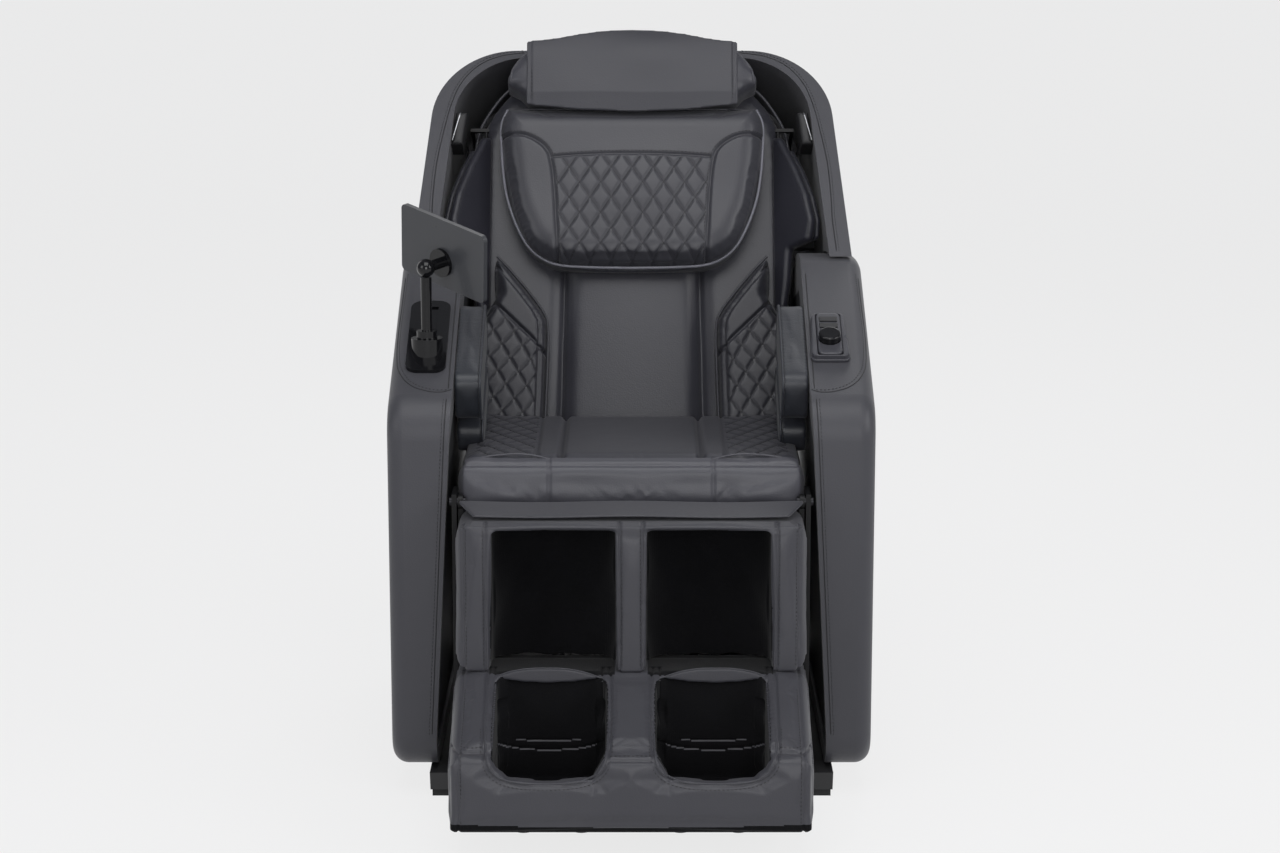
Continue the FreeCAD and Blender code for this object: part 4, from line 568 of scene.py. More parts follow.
def quilt_lines(cell, shift, inside):
    """The stitched lines of the quilting, each cut off where its panel ends."""
    lines = []
    parts = np.arange(-30, 30, 0.12)[:, None]
    for fixed, free in ((0, 1), (1, 0)):
        for count in range(-30, 31):
            spots = count * cell[fixed] + parts * cell[free] + np.array(shift)
            held = inside(spots[:, 0], spots[:, 1]).astype(int)
            ends = np.flatnonzero(np.diff(np.concatenate(([0], held, [0]))))
            for first, last in zip(ends[::2], ends[1::2]):
                if last - first > 2:
                    lines.append([Vector(spot) for spot in spots[first:last]])
    return lines


liner_channel, liner_edge, seat_crest_y = 0.1135, 0.1535, -0.262


def on_seat_top(across, back):
    """Where the top is quilted, outside the two channels."""
    return (np.abs(across) > 0.158) & (np.abs(across) < 0.256) & (back > -0.256) & (back < 0.06)


def seat_folds(at):
    """Two sewn joints in the face, and the channels and quilting of the top."""
    across = np.abs(at[:, 0])
    face = np.clip((0.005 - at[:, 1] + seat_face_y + 0.02) / 0.02, 0, 1)
    joints = groove(across - seat_seam_x, 0.0018, 0.0028) * (at[:, 2] > 0.47) * (at[:, 1] < seat_crest_y)
    edge = groove(at[:, 2] - 0.5585, 0.003, 0.003) * (at[:, 1] < -0.25)
    waves = 0.0013 * np.sin(at[:, 0] * 31 + 1.0) * np.sin(at[:, 2] * 60 - 1.5)
    waves += 0.0012 * np.cos(at[:, 0] * 17)
    waves *= face * (1 - groove(across - seat_seam_x, 0.02, 1.0))
    top = (at[:, 2] > 0.555) & (at[:, 1] > seat_crest_y)
    channels = groove(across - liner_channel, 0.005, 0.009) + groove(across - liner_edge, 0.003, 0.004)
    channels = channels * top
    cells = quilt(across, at[:, 1], quilt_cell) * on_seat_top(across, at[:, 1]) * top
    return joints + edge + channels + cells + waves


press(seat, seat_folds)
# the top behind the crest takes a darker copy of the leather: partly the back's liner running on over the
# seat, partly painted shade on the top
liner_and_top_shade_leather = leather("soft_liner_and_top_shade_leather", "#24242b", "#2d2d34", 0.44)
soft_cover(seat, seat_leather, "base", "seat_cushion", 0.7, liner_and_top_shade_leather)
for face in seat.data.polygons:
    face.material_index = int(face.center.z > 0.560 and face.center.y > seat_crest_y - 0.001)

seat_skin = skin_of(seat)
lip_arch = [(0.131, 0.564), (0.160, 0.571), (0.190, 0.573), (0.225, 0.570), (0.262, 0.564)]
lip = smooth_line([(x, seat_crest_y, z) for x, z in lip_arch])
piped("seat_lips", both_sides([lip]), "base", 0.0016, seat_leather)
joint = smooth_line([(seat_seam_x, -0.26, 0.6), (seat_seam_x, -0.32, 0.54), (seat_seam_x, -0.33, 0.48)])
joint = [spot for spot in laid(joint, seat_skin, rearward, stitch_lift) if spot.z < 0.566]
sewn("seat_stitches", both_sides([[spot + Vector((0.006, 0, 0)) for spot in joint]]), "base")
cells = quilt_lines(quilt_cell, (0, 0), lambda across, back: on_seat_top(across, back) & (across > 0))
cells = [laid([Vector((p.x, p.y, 0.60)) for p in line], seat_skin, down, quilt_lift) for line in cells]
# dark lines of painted seam shade along the stitched quilting of the seat top
piped("seat_quilting_seam_shade", both_sides(cells), "base", 0.0006, seam_shadow)


# Hood: a moulded arch wrapped in the same leather, with a narrow sewn band along
# the inner edge of its rim. It turns with the back, close over the arms.

back_hinge = Vector((0.0, 0.132, 0.450))
back_lean = math.radians(26)
upright = Matrix.Translation(back_hinge) @ Matrix.Rotation(-back_lean, 4, "X")
into_back = upright.to_3x3() @ Vector((0, 1, 0))


def up_the_back(line, depth=0.0):
    """A line measured across and up the back, as places in the room."""
    return [upright @ Vector((point.x, depth, point.y)) for point in line]


def laid_on_back(line, skin, lift=0.0):
    """Drop a line measured across and up the back onto a skin there."""
    return laid(up_the_back(line), skin, into_back, lift)


def beside(line, gap):
    """The line beside a flat one, to its right as it runs for a positive gap."""
    moved = []
    for before, point, after in zip([line[0]] + line, line, line[1:] + [line[-1]]):
        way = (after - before).normalized()
        moved.append(point + Vector((way.y, -way.x)) * gap)
    return moved


hood_leather = leather("embossed_hood_leather", "#333338", "#3b3b40", 0.46)
finish_nodes("hood_shell", hood_leather)
hood_skin = skin_of(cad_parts["hood_shell"])
rim = smooth_line([(0.345, 0.350), (0.340, 0.413), (0.339, 0.462), (0.335, 0.527), (0.326, 0.585),
                   (0.314, 0.646), (0.298, 0.691), (0.271, 0.725), (0.236, 0.744), (0.192, 0.752)])
rim_seam = laid_on_back(beside(rim, 0.008), hood_skin)
rim_row = laid_on_back(beside(rim, 0.0125), hood_skin, stitch_lift)
# a dark line of painted seam shade along the seam inside the rim
piped("hood_seam_shadow", both_sides([rim_seam]), "back", 0.0009, seam_shadow)
sewn("hood_stitches", both_sides([rim_row]), "back")


# Back cushion: one broad pad with a crowned middle between two long sewn
# channels, and piping round its upper edge.

def turned(places, turn):
    turn = np.array(turn)
    return places @ turn[:3, :3].T + turn[:3, 3]


def on_back(corners):
    """Places measured across, behind and up the back instead of on the floor."""
    return turned(corners, upright.inverted())


def off_back(local):
    return turned(local, upright)


def ahead_of(depth):
    """Where filling may swell a pad on the back: ahead of a depth, freely from 20 mm on."""
    return lambda at: np.clip((depth - on_back(at)[:, 1]) / 0.02, 0, 1)


def from_line(points, line):
    """How far flat points are from a line."""
    line = np.array([point[:2] for point in line])
    best = np.full(len(points), 9.0)
    for start, end in zip(line[:-1], line[1:]):
        way = end - start
        share = np.clip((points - start) @ way / (way @ way + 1e-12), 0, 1)
        best = np.minimum(best, np.linalg.norm(points - start - share[:, None] * way, axis=1))
    return best


def crown(thing, outline, rear, width, edge_share):
    """Round a pad on the back over towards its outline."""
    local = on_back(corners_of(thing))
    rise = np.clip(from_line(local[:, [0, 2]], outline + outline[:1]) / width, 0, 1)
    share = edge_share + (1 - edge_share) * np.sqrt(1 - (1 - rise) ** 2)
    local[:, 1] = rear + (local[:, 1] - rear) * share
    set_corners(thing, off_back(local))


def mirrored_outline(half):
    """A closed outline from its right half, which runs from the bottom to the top."""
    return half + [Vector((-point.x, point.y)) for point in reversed(half)]


back_leather = leather("soft_back_leather", "#28282e", "#313137", 0.38)
back_half = smooth_line([(0.281, 0.100), (0.281, 0.480), (0.280, 0.560), (0.272, 0.620), (0.250, 0.664),
                         (0.222, 0.699), (0.190, 0.722)], 0.01)
back_half.insert(0, Vector((0.281, 0.017)))
back_outline = mirrored_outline(back_half)
back_rear, back_face = 0.004, -0.043
back_pad = even_skin("back_cover", cut_form(back_outline, back_rear, back_face, upright), 0.006, 3)
inflate(back_pad, 0.006, ahead_of(-0.005))
crown(back_pad, back_outline, back_rear, 0.035, 0.72)


def back_channels(at):
    """Two sewn channels that spread a little on the way down, with full rolls beside them."""
    local = on_back(at)
    across = np.abs(local[:, 0]) - (0.1265 - 0.020 * local[:, 2])
    ends = np.clip((0.56 - local[:, 2]) / 0.1, 0, 1) * np.clip((-0.02 - local[:, 1]) / 0.01, 0, 1)
    middle = 0.006 * np.clip(1 - (local[:, 0] / 0.11) ** 2, 0, 1)
    return (groove(across, 0.004, 0.009) + groove(across, 0.016, 0.010) - middle) * ends


press(back_pad, back_channels)
soft_cover(back_pad, back_leather, "back", "back_cushion", 0.7)
back_edge = smooth_line([(0.283, 0.430), (0.282, 0.560), (0.274, 0.622), (0.252, 0.666), (0.224, 0.701),
                         (0.190, 0.724)])
piped("back_piping", both_sides([up_the_back(back_edge, -0.033)]), "back", 0.0028, back_leather)


# Side bolsters: thicker pads down both sides of the back, piped along their inner
# edge. Below a slanting seam the leather is quilted in diamonds.

bolster_leather = leather("bolster_leather", "#1f1f25", "#27272d", 0.42)
bolster_inner = smooth_line([(0.155, 0.020), (0.152, 0.075), (0.149, 0.161), (0.148, 0.240), (0.155, 0.268),
                             (0.182, 0.307), (0.214, 0.346), (0.238, 0.372)], 0.008)
bolster_outline = bolster_inner + [Vector(spot) for spot in ((0.240, 0.300), (0.281, 0.228), (0.281, 0.020))]
seam_foot, seam_rise = (0.152, 0.197), 0.98


def under_seam(across, up):
    """How far below the slanting seam a place is, measured straight up."""
    return seam_foot[1] + seam_rise * (across - seam_foot[0]) - up


def bolster_depth(at):
    """Quilting below the slanting seam, that seam, and one along the inner edge."""
    local = on_back(at)
    across, up = np.abs(local[:, 0]), local[:, 2]
    below = under_seam(across, up) / math.hypot(1, seam_rise)
    front = np.clip((-0.070 - local[:, 1]) / 0.015, 0, 1)
    inside = from_line(np.column_stack((across, up)), bolster_inner)
    share = np.clip(below / 0.003, 0, 1) * np.clip((inside - 0.014) / 0.003, 0, 1)
    quilted = quilt(across, up, quilt_cell) * share
    return (quilted + groove(below, 0.0028, 0.005) + groove(inside - 0.013, 0.0025, 0.004)) * front


def with_mirrored(thing, name):
    """The sides' letters, each with its piece: a right one and its mirror image on the left."""
    mesh = thing.data.copy()
    mesh.transform(Matrix.Scale(-1, 4, (1, 0, 0)))
    mesh.flip_normals()
    return ("r", thing), ("l", new_object(name + "_l", mesh))


bolster_rear, bolster_face = -0.0423, -0.1045
bolster = cut_form(bolster_outline, bolster_rear, bolster_face, upright)
bolster = even_skin("bolster_cover_r", bolster, 0.004, 3)
inflate(bolster, 0.005, ahead_of(-0.055))
crown(bolster, bolster_outline, bolster_rear, 0.024, 0.72)
press(bolster, bolster_depth)
for side, thing in with_mirrored(bolster, "bolster_cover"):
    soft_cover(thing, bolster_leather, "back", "bolster_" + side, 0.8)
piped("bolster_piping", both_sides([up_the_back(beside(bolster_inner, -0.001), -0.089)]), "back", 0.0024,
      bolster_leather)


def on_bolster(across, up):
    """Where the bolster is quilted."""
    spots = np.column_stack((across, up))
    outer = 0.281 + np.minimum(0, 0.228 - up) * 0.57
    inner = np.interp(up, [0.02, 0.161, 0.24, 0.268, 0.307], [0.155, 0.149, 0.148, 0.155, 0.182])
    clear = (across > inner) & (across < outer - 0.008) & (up > 0.026) & (under_seam(across, up) > 0.006)
    return clear & (from_line(spots, bolster_inner) > 0.016)


bolster_skin = skin_of(bolster)
cells = quilt_lines(quilt_cell, (0, 0), on_bolster)
cells = [laid_on_back(line, bolster_skin, quilt_lift) for line in cells]
# dark lines of painted seam shade along the stitched quilting of the bolsters
piped("bolster_quilting_seam_shade", both_sides(cells), "back", 0.0006, seam_shadow)


# Head pad and flap: a thick pad over the top of the back, and a wide leather
# flap laid over it down to the pillow, hemmed along both sides.

head_leather = leather("head_pad_leather", "#303036", "#39393f", 0.42)
head = even_skin("head_cover", welded("head_pad"), 0.006, 4)
inflate(head, 0.003)
soft_cover(head, head_leather, "back", "head_pad", 0.6)
head_edge = smooth_line([(0.186, 0.742), (0.200, 0.730), (0.212, 0.712), (0.216, 0.690)])
piped("head_piping", both_sides([laid_on_back(head_edge, skin_of(head))]), "back", 0.0022, head_leather)

flap_leather = leather("flap_leather", "#2a2a30", "#323238", 0.46)
flap_half = [Vector(spot) for spot in ((0.0, 0.632), (0.093, 0.635), (0.187, 0.644), (0.187, 0.760))]
flap_half += smooth_line([(0.182, 0.763), (0.140, 0.768), (0.093, 0.778), (0.045, 0.785), (0.0, 0.787)], 0.01)
flap_left = [Vector((-point.x, point.y)) for point in reversed(flap_half[1:-1])]
flap = even_skin("flap_cover", cut_form(flap_half + flap_left, -0.1245, -0.1300, upright), 0.0022, 2)
local = on_back(corners_of(flap))
local[:, 1] += 2.6 * np.clip(local[:, 2] - 0.722, 0, 1) ** 2 + 0.25 * np.clip(0.665 - local[:, 2], 0, 1)
local[:, 1] += 0.0016 * np.sin(local[:, 0] * 26 + 0.6) * np.sin(local[:, 2] * 40)
set_corners(flap, off_back(local))
press(flap, lambda at: groove(np.abs(on_back(at)[:, 0]) - 0.1805, 0.0022, 0.0016))
soft_cover(flap, flap_leather, "back", "flap", 0.2)
flap_skin = skin_of(flap)
hem = smooth_line([(0.1775, 0.655), (0.1775, 0.700), (0.1775, 0.755)])
hem = laid_on_back(hem, flap_skin, stitch_lift)
sewn("flap_stitches", both_sides([hem]), "back")


# Head pillow: a soft pillow sewn to the flap and piped all round, with a quilted
# middle panel between two plain side panels.

pillow_leather = leather("soft_pillow_leather", "#2c2c31", "#35353b", 0.40)
pillow_side = smooth_line([(0.0, 0.3525), (0.075, 0.354), (0.128, 0.358), (0.160, 0.371), (0.184, 0.394),
                           (0.204, 0.432), (0.220, 0.480), (0.228, 0.530), (0.232, 0.590), (0.231, 0.622),
                           (0.221, 0.646)], 0.008)
pillow_outline = mirrored_outline(pillow_side[1:])
panel_seam = smooth_line([(0.130, 0.340), (0.133, 0.423), (0.137, 0.492), (0.1425, 0.538), (0.150, 0.560),
                          (0.168, 0.577), (0.195, 0.588), (0.235, 0.591)])
pillow_cell, cell_shift = np.array([[0.0185, 0.028], [0.0185, -0.028]]), 0.024


def panel_half(up):
    """How far the quilted panel reaches to each side."""
    return np.interp(up, [0.34, 0.423, 0.492, 0.538], [0.130, 0.133, 0.137, 0.1425])


def panel_arch(across, top):
    """The arched upper edge of the panel, from its height in the middle."""
    return top - 0.34 * across ** 2


def pillow_depth(at):
    """Quilting inside the panel, valleys along its seams, and plain skin elsewhere."""
    local = on_back(at)
    across, up = np.abs(local[:, 0]), local[:, 2]
    front = np.clip((-0.072 - local[:, 1]) / 0.015, 0, 1)
    half, arch = panel_half(up), panel_arch(across, 0.5535)
    inside = np.clip((half - 0.004 - across) / 0.003, 0, 1) * np.clip((arch - 0.003 - up) / 0.003, 0, 1)
    sides = groove(from_line(np.column_stack((across, up)), panel_seam), 0.003, 0.0055)
    top = groove(up - arch, 0.0026, 0.0045) * (across < half)
    full = 0.002 * np.cos(local[:, 0] * 14) * np.cos((up - 0.6) * 30)
    cells = quilt(local[:, 0], up - cell_shift, pillow_cell, 0.0026) * inside
    return (cells + np.maximum(sides, top) + full) * front


pillow_rear, pillow_face = -0.0425, -0.1175
pillow = even_skin("pillow_cover", cut_form(pillow_outline, pillow_rear, pillow_face, upright), 0.004, 4)
inflate(pillow, 0.006, ahead_of(-0.05))
crown(pillow, pillow_outline, pillow_rear, 0.045, 0.60)
press(pillow, pillow_depth)
soft_cover(pillow, pillow_leather, "head_pillow", "pillow", 0.7)
pale_piping = leather("pale_grey_piping_leather", "#5b5b63", "#696971", 0.42)
pillow_edge = up_the_back(beside(pillow_side, 0.0005), -0.0865)
piped("pillow_piping", both_sides([pillow_edge]), "head_pillow", 0.0026, pale_piping)
pillow_skin = skin_of(pillow)
top_row = smooth_line([(x, panel_arch(x, 0.5585)) for x in (0.0, 0.05, 0.10, 0.136)])
rows = [laid_on_back(line, pillow_skin, stitch_lift) for line in (beside(panel_seam, -0.0055), top_row)]
sewn("pillow_stitches", both_sides(rows), "head_pillow")


def on_panel(across, up):
    """Where the pillow is quilted."""
    return (np.abs(across) < panel_half(up) - 0.004) & (up < panel_arch(across, 0.550)) & (up > 0.362)


cells = quilt_lines(pillow_cell, (0, cell_shift), on_panel)
cells = [laid_on_back(line, pillow_skin, quilt_lift) for line in cells]
# dark lines of painted seam shade along the stitched quilting of the pillow panel
piped("pillow_quilting_seam_shade", cells, "head_pillow", 0.0005, seam_shadow)


# Shoulder wings: thin padded blades that swing in on steel pins, each with a
# fixed blade behind it, sewn along the edge.

wing_leather = leather("thin_wing_leather", "#17171f", "#202029", 0.4)
for stem, body in (("wing", "shoulder_wing_"), ("outer_wing", None)):
    blade = even_skin(stem + "_cover_r", welded(stem + "_r"), 0.003, 3)
    for side, thing in with_mirrored(blade, stem + "_cover"):
        soft_cover(thing, wing_leather, body + side if body else "back", f"{stem}_{side}", 0.5)
    if stem == "wing":
        inner_blade = skin_of(blade)
wing_root, wing_out, wing_face = (0.262, -0.043), (0.6, -0.8), (0.8, 0.6)
wing_row = []
for out, up in smooth_line([(0.096, 0.398), (0.098, 0.424), (0.083, 0.478), (0.051, 0.538), (0.014, 0.596)]):
    across, depth = wing_root[0] + wing_out[0] * out, wing_root[1] + wing_out[1] * out
    wing_row.append(upright @ Vector((across, depth, up)))
facing = upright.to_3x3() @ Vector((*wing_face, 0))
wing_row = laid(wing_row, inner_blade, facing, stitch_lift, 0.1)
for side, line in zip("rl", both_sides([wing_row])):
    sewn("wing_stitches_" + side, [line], "shoulder_wing_" + side)


# Speaker trims: a thin bright strip down the front edge of each plastic pod.

pod_skin = skin_of(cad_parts["speaker_pod_r"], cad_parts["hood_shell"])
trim = smooth_line([(0.300, 0.648), (0.309, 0.615), (0.318, 0.582)])
trim = laid_on_back(trim, pod_skin, 0.0006)
run_along("speaker_trims", both_sides([trim]), piping_run, piping_sockets, "back",
          {"Radius": 0.0012, "Finish": bright_steel})


# Arm pads: two flat air pads stacked on the inside of each arm, their front
# edges piped.

pad_leather = leather("arm_pad_leather", "#1d2228", "#2b2b31", 0.42)


def side_outline(node, inset):
    """The outline a stretched band would take round a pad seen from the side, drawn in a little."""
    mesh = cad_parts[node].data
    spots = sorted({(round(v.co.y, 4), round(v.co.z, 4)) for v in mesh.vertices})
    halves = []
    for order in (spots, spots[::-1]):
        half = []
        for spot in order:
            while len(half) > 1 and ((half[-1][0] - half[-2][0]) * (spot[1] - half[-2][1])
                                     - (half[-1][1] - half[-2][1]) * (spot[0] - half[-2][0])) <= 0:
                half.pop()
            half.append(spot)
        halves += half[:-1]
    middle = sum((Vector(spot) for spot in halves), Vector((0, 0))) / len(halves)
    return [Vector(spot) - (Vector(spot) - middle).normalized() * inset for spot in halves]


for stem in ("upper", "lower"):
    outline = side_outline(f"arm_pad_{stem}_r", 0.001)
    soft = even_skin(f"arm_pad_{stem}_cover_r", cut_form(outline, 0.2465, 0.2895, sideways), 0.004, 3)
    inflate(soft, 0.001, lambda at: np.clip((0.282 - at[:, 0]) / 0.01, 0, 1))
    for side, thing in with_mirrored(soft, f"arm_pad_{stem}_cover"):
        soft_cover(thing, pad_leather, "base", f"arm_pad_{stem}_{side}", 0.7)
    edge = [Vector((0.2475, spot.x, spot.y)) for spot in outline + outline[:1]]
    piped(f"arm_pad_{stem}_piping", both_sides([edge]), "base", 0.0024, pad_leather)


# Leg rest: a padded block with two open wells for the calves, lined with black
# mesh cloth and edged with sewn leather bands.

mesh_cloth, tree = new_material("black_spacer_mesh_cloth")
at = own_space(tree)
# the real knit has holes 1.5 mm apart, drawn at 3 mm so that they show
holes = add_node(tree, "ShaderNodeTexVoronoi", {"Vector": at, "Scale": 330.0, "Randomness": 0.15})
surfaced(tree, {"Base Color": toned(tree, speckle(tree, at, 12.0, 4.0), "#050506", "#0c0c0f"),
                "Roughness": 0.95, "Sheen Weight": 0.06, "Specular IOR Level": 0.15,
                "Normal": bumped(tree, holes.outputs["Distance"], 0.5, 0.0008)})

leg_leather = leather("leg_rest_leather", "#2e2e34", "#38383d", 0.44)


def round_corner(across, up, side, top, radius):
    """Bring what lies outside a rounded corner back onto its arc."""
    over = np.maximum(across - (side - radius), 0)
    above = np.maximum(up - (top - radius), 0)
    length = np.hypot(over, above)
    share = np.where((over > 0) & (above > 0) & (length > radius), radius / (length + 1e-9), 1.0)
    return across - over * (1 - share), up - above * (1 - share)


calf_top, calf_bottom, calf_side, leg_round = 0.494, 0.256, 0.277, 0.024
calf = even_skin("calf_cover", welded("calf_pad"), 0.004, 4)
inflate(calf, 0.003, lambda at: np.clip((-0.40 - at[:, 1]) / 0.01, 0, 1))
corners = corners_of(calf)
across, up = round_corner(np.abs(corners[:, 0]), corners[:, 2], calf_side, calf_top, leg_round)
across, up = round_corner(across, -up, calf_side, -calf_bottom, leg_round)
corners[:, 0], corners[:, 2] = np.sign(corners[:, 0]) * across, -up
set_corners(calf, corners)
calf_joints = (0.0185, 0.2305, 0.2655)


def calf_seams(at):
    """The joints of the leather bands, and loose folds in the lining."""
    across = np.abs(at[:, 0])
    depth = sum(groove(across - joint, 0.0022, 0.0028) for joint in calf_joints)
    inside = (across > 0.026) & (across < 0.220) & (at[:, 1] > -0.414) & (at[:, 2] < 0.484)
    folds = 0.003 * np.sin(at[:, 2] * 38 + across * 60) * np.sin(across * 47 + 1)
    return depth * (at[:, 1] < -0.40) * (across < 0.272) + folds * inside


press(calf, calf_seams)
soft_cover(calf, leg_leather, "leg_rest", "calf_pad", 0.8, mesh_cloth)
for face in calf.data.polygons:
    across, depth, up = abs(face.center.x), face.center.y, face.center.z
    face.material_index = int(0.023 < across < 0.224 and depth > -0.4215 and up < 0.4875)
calf_skin = skin_of(calf)
rows = []
for joint in (0.0145, 0.2345, 0.2615):
    rows.append(laid_on_front(smooth_line([(joint, z) for z in (0.484, 0.40, 0.33, 0.268)]), calf_skin))
sewn("calf_stitches", both_sides(rows), "leg_rest")


# Apron: a narrow leather flap between the seat and the leg rest, wider at the
# back than at the front, with turned edges.

flat = Matrix(((1, 0, 0, 0), (0, 0, 1, 0), (0, 1, 0, 0), (0, 0, 0, 1)))
apron_outline = [(-0.276, -0.325), (0.276, -0.325), (0.276, -0.334), (0.250, -0.397), (-0.250, -0.397),
                 (-0.276, -0.334)]
apron = even_skin("apron_cover", cut_form(apron_outline, 0.4985, 0.5025, flat), 0.0022, 2)
corners = corners_of(apron)
corners[:, 2] += 0.10 * (corners[:, 1] + 0.397) + 0.0012 * np.cos(corners[:, 0] * 21)
set_corners(apron, corners)
soft_cover(apron, leg_leather, "leg_rest", "apron", 0.4)


# Foot rest: a padded box with two wells for the feet, their front rims dipped in
# a curve, lined with the same cloth. It slides out of the leg rest on two rods.

rim_inner, rim_outer = 0.040, 0.221
rim_curve = smooth_line([(rim_inner, 0.250), (rim_inner, 0.200), (0.043, 0.168), (0.054, 0.149),
                         (0.078, 0.139), (0.130, 0.1355), (0.184, 0.139), (0.207, 0.150), (0.218, 0.171),
                         (rim_outer, 0.200), (rim_outer, 0.250)], 0.006)
cut = new_object("rim_cut", welded("foot_pad"))
for side in (1, -1):
    outline = [(side * point.x, point.y) for point in rim_curve]
    outline += [(side * rim_outer, 0.32), (side * rim_inner, 0.32)]
    tool = new_object("rim_cutter", cut_form(outline, -0.650, -0.592, Matrix.Identity(4)))
    dip = cut.modifiers.new("dip", "BOOLEAN")
    dip.operation = "DIFFERENCE"
    dip.object = tool
    settle(cut)
    bpy.data.objects.remove(tool)
foot = even_skin("foot_cover", cut.data, 0.004, 4)
bpy.data.objects.remove(cut)
inflate(foot, 0.003, lambda at: (np.clip((-0.325 - at[:, 1]) / 0.01, 0, 1)
                                 * np.clip((at[:, 2] - 0.06) / 0.02, 0, 1)))
corners = corners_of(foot)
slope = np.minimum(0.174 + 0.45 * (corners[:, 1] + 0.603), 0.2535)
across, above = round_corner(np.abs(corners[:, 0]), corners[:, 2] - slope, 0.2795, 0.0, 0.022)
corners[:, 0], corners[:, 2] = np.sign(corners[:, 0]) * across, above + slope
set_corners(foot, corners)
foot_side_seam, band_seam_up, divider_seam_up = 0.2665, 0.176, 0.167


def foot_seams(at):
    """Seams round the rims, across the bands and up the sides, and the lining's folds."""
    across, up = np.abs(at[:, 0]), at[:, 2]
    outside = (at[:, 1] < -0.4) & (facings_of(foot)[:, 1] < 0.5)
    rim_gap = from_line(np.column_stack((across, up)), rim_curve)
    open_at = (across > 0.047) & (across < 0.214) & (up > 0.145)
    depth = groove(rim_gap - 0.0075, 0.002, 0.003) * ~open_at
    depth += groove(across - foot_side_seam, 0.002, 0.0025)
    for seam_up, reach in ((band_seam_up, across > 0.228), (divider_seam_up, across < 0.033)):
        depth += groove(up - seam_up, 0.0022, 0.0035) * reach * (at[:, 1] < -0.56)
    inside = (across > 0.040) & (across < 0.212) & (at[:, 1] > -0.593) & (at[:, 1] < -0.435) & (up < 0.215)
    folds = 0.005 * np.sin(across * 70 + up * 55) * np.sin(up * 42 + at[:, 1] * 60 + 0.7)
    hem = 0.004 * np.clip((0.060 + 0.004 * np.cos(across * 12) - up) / 0.006, 0, 1) * (at[:, 1] < -0.55)
    return depth * outside + folds * inside + hem


press(foot, foot_seams)
soft_cover(foot, leg_leather, "foot_rest", "foot_pad", 0.8, mesh_cloth)


def in_foot_well(middle, facing):
    """Whether a face of the foot pad takes the black cloth: its sole with a dark band along its lowest edge,
    its lined wells and their open tops.
    """
    across = abs(middle.x)
    if middle.z < 0.061 + 0.08 * across ** 2:
        return True
    if middle.y > -0.4325 and 0.026 < across < 0.226 and middle.z > 0.18:
        return True
    if not (0.036 < across < 0.2225 and -0.6035 < middle.y < -0.415):
        return False
    return facing.z < 0.6 or middle.z < 0.12


for face in foot.data.polygons:
    face.material_index = int(in_foot_well(face.center, face.normal))
foot_skin = skin_of(foot)
rim_lines = []
for gap in (0.0125, 0.0045):
    line = [point for point in beside(rim_curve, gap) if point.y < 0.215]
    rim_lines.append([spot for spot in laid_on_front(line, foot_skin) if spot.y < -0.55])
rows, rim_edge = rim_lines[:1], rim_lines[1]
piped("rim_piping", both_sides([rim_edge]), "foot_rest", 0.0014, leg_leather)
for points in ([(0.262, z) for z in (0.235, 0.19, 0.13, 0.07)], [(0.232, 0.181), (0.262, 0.181)],
               [(-0.030, 0.172), (0.030, 0.172)]):
    rows.append(laid_on_front(smooth_line(points), foot_skin))
sewn("foot_stitches", both_sides(rows), "foot_rest")

lip_arch = smooth_line([(0.048, 0.2475), (0.075, 0.257), (0.105, 0.2625), (0.135, 0.2635), (0.165, 0.2625),
                        (0.195, 0.257), (0.218, 0.2475)], 0.006)
lip_outline = lip_arch + [Vector((0.170, 0.241)), Vector((0.135, 0.2395)), Vector((0.095, 0.241))]
lip = even_skin("well_lip_r", cut_form(lip_outline, -0.4375, -0.4335, Matrix.Identity(4)), 0.002, 2)
for side, thing in with_mirrored(lip, "well_lip"):
    dress(thing, leg_leather)
    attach(thing, "foot_rest")
lip_edge = [Vector((point.x, -0.4365, point.y)) for point in lip_arch]
piped("well_lip_piping", both_sides([lip_edge]), "foot_rest", 0.0012, leg_leather)


# Controls: a gloss-black plate, post and ball joint with a small tablet on the
# viewer's left arm, and a gloss-black remote with a knob and two keys on the right.

def gloss_black(name, tint, roughness):
    """Polished black ABS, as on piano-black trim: sharp reflections, faint hairlines."""
    made, tree = new_material(name)
    wipe = speckle(tree, own_space(tree), 18.0, 6.0)
    surfaced(tree, {"Base Color": linear(tint), "Specular IOR Level": 0.28, "Coat Weight": 0.12,
                    "Roughness": between(tree, wipe, roughness * 0.7, roughness * 1.6)})
    return made


remote_black = gloss_black("moulded_black_abs_remote", "#3c3c41", 0.28)
finish_nodes("tablet_plate post_socket stand_post tablet_knuckle knob",
             gloss_black("polished_black_abs", "#0e0e10", 0.12))
finish_nodes("remote_case", remote_black)
finish_nodes("tablet", gloss_black("satin_black_tablet_shell", "#3a3b3e", 0.3))
finish_nodes("tablet_screen", gloss_black("dark_screen_glass", "#07080a", 0.05))
finish_nodes("button_lower button_upper", black_abs)


# Remote surround: the moulded body and the lip round the remote's case, lying on
# the slope of the arm.

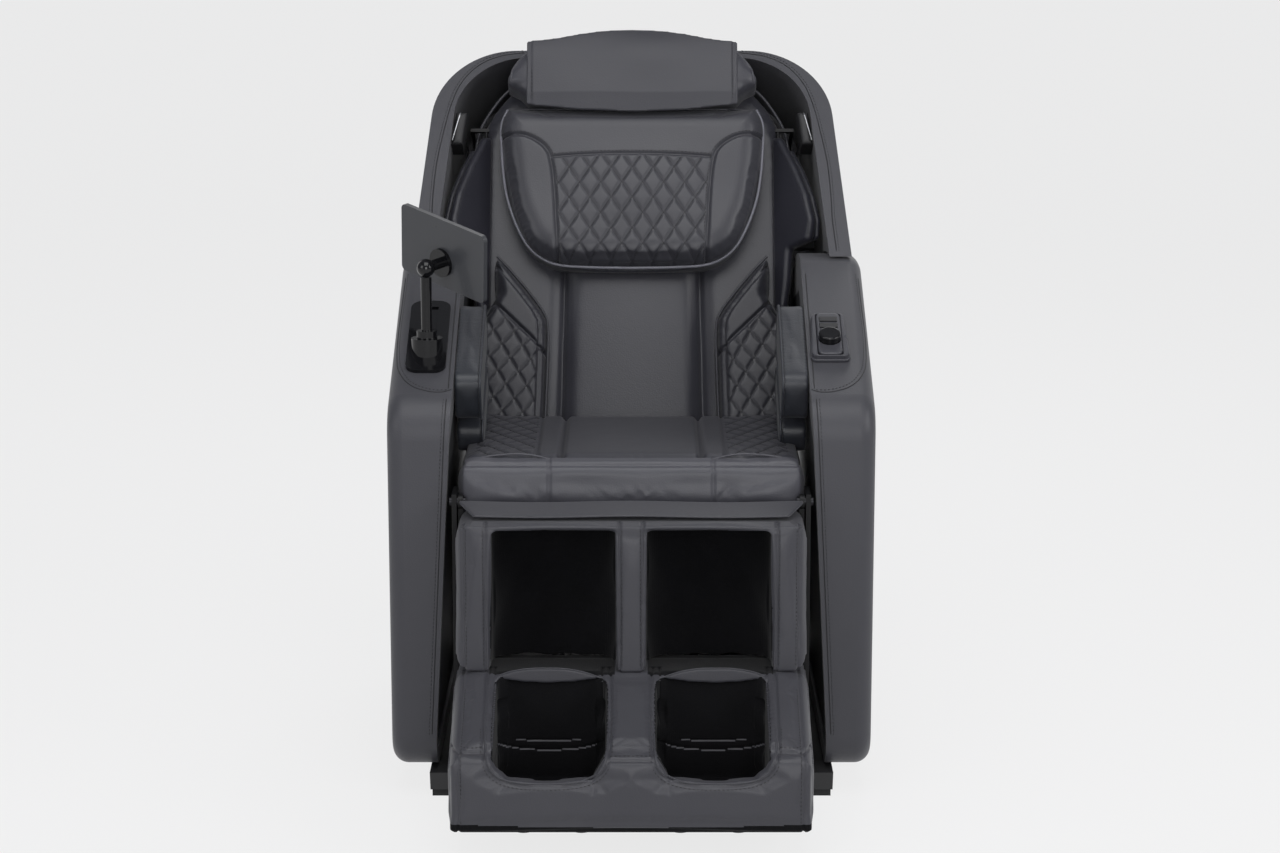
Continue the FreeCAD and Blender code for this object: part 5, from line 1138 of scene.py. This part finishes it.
arm_slope = Matrix.Rotation(math.radians(25), 4, "X")
spots = [arm_slope.inverted() @ corner.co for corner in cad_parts["remote_case"].data.vertices]
low, high = [Vector([pick(spot[axis] for spot in spots) for axis in range(3)]) for pick in (min, max)]
centre = (low + high) / 2


def rounded(half_low, half_high, bottom, top, radius):
    """A trapezoid with round corners, as a loop of points."""
    loop = []
    for x, y, turn in ((half_low, bottom, -90), (half_high, top, 0), (-half_high, top, 90),
                       (-half_low, bottom, 180)):
        for step in range(0, 91, 15):
            swing = math.radians(turn + step)
            loop.append((x - math.copysign(radius, x) + radius * math.cos(swing),
                         y - math.copysign(radius, y) + radius * math.sin(swing)))
    return loop


def collar(outer, inner, low, high):
    """A flat ring between two loops of as many points each."""
    count = len(outer)
    points = [(x, y, z) for z in (low, high) for loop in (outer, inner) for x, y in loop]
    faces = []
    for n in range(count):
        m = (n + 1) % count
        faces += [(n, m, 2 * count + m, 2 * count + n), (count + m, count + n, 3 * count + n, 3 * count + m),
                  (2 * count + n, 2 * count + m, 3 * count + m, 3 * count + n), (m, n, count + n, count + m)]
    mesh = bpy.data.meshes.new("collar")
    mesh.from_pydata(points, [], faces)
    return mesh


half_wide, half_long = (high.x - low.x) / 2, (high.y - low.y) / 2
case_gap = 0.0006
half_hole, hole_end = half_wide + case_gap, half_long + case_gap
hole = rounded(half_hole, half_hole, -hole_end, hole_end, 0.003)
for name, half_low, half_high, reach, drop, rise in (("remote_body", 0.0305, 0.0268, 0.003, 0.0003, 0.0125),
                                                     ("remote_lip", 0.0325, 0.0285, 0.0055, 0.0001, 0.0055)):
    outer = rounded(half_low, half_high, -half_long - reach, half_long + reach, 0.010)
    shell = new_object(name, collar(outer, hole, low.z + drop, low.z + rise))
    shell.data.transform(arm_slope @ Matrix.Translation((centre.x, centre.y, 0)))
    bevel = shell.modifiers.new("edge", "BEVEL")
    bevel.width = 0.0016
    bevel.segments = 3
    settle(shell)
    dress(shell, remote_black)
    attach(shell, "base")


size = {"cad": [list(corner) for corner in cad_box], "visual": [list(corner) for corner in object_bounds()]}
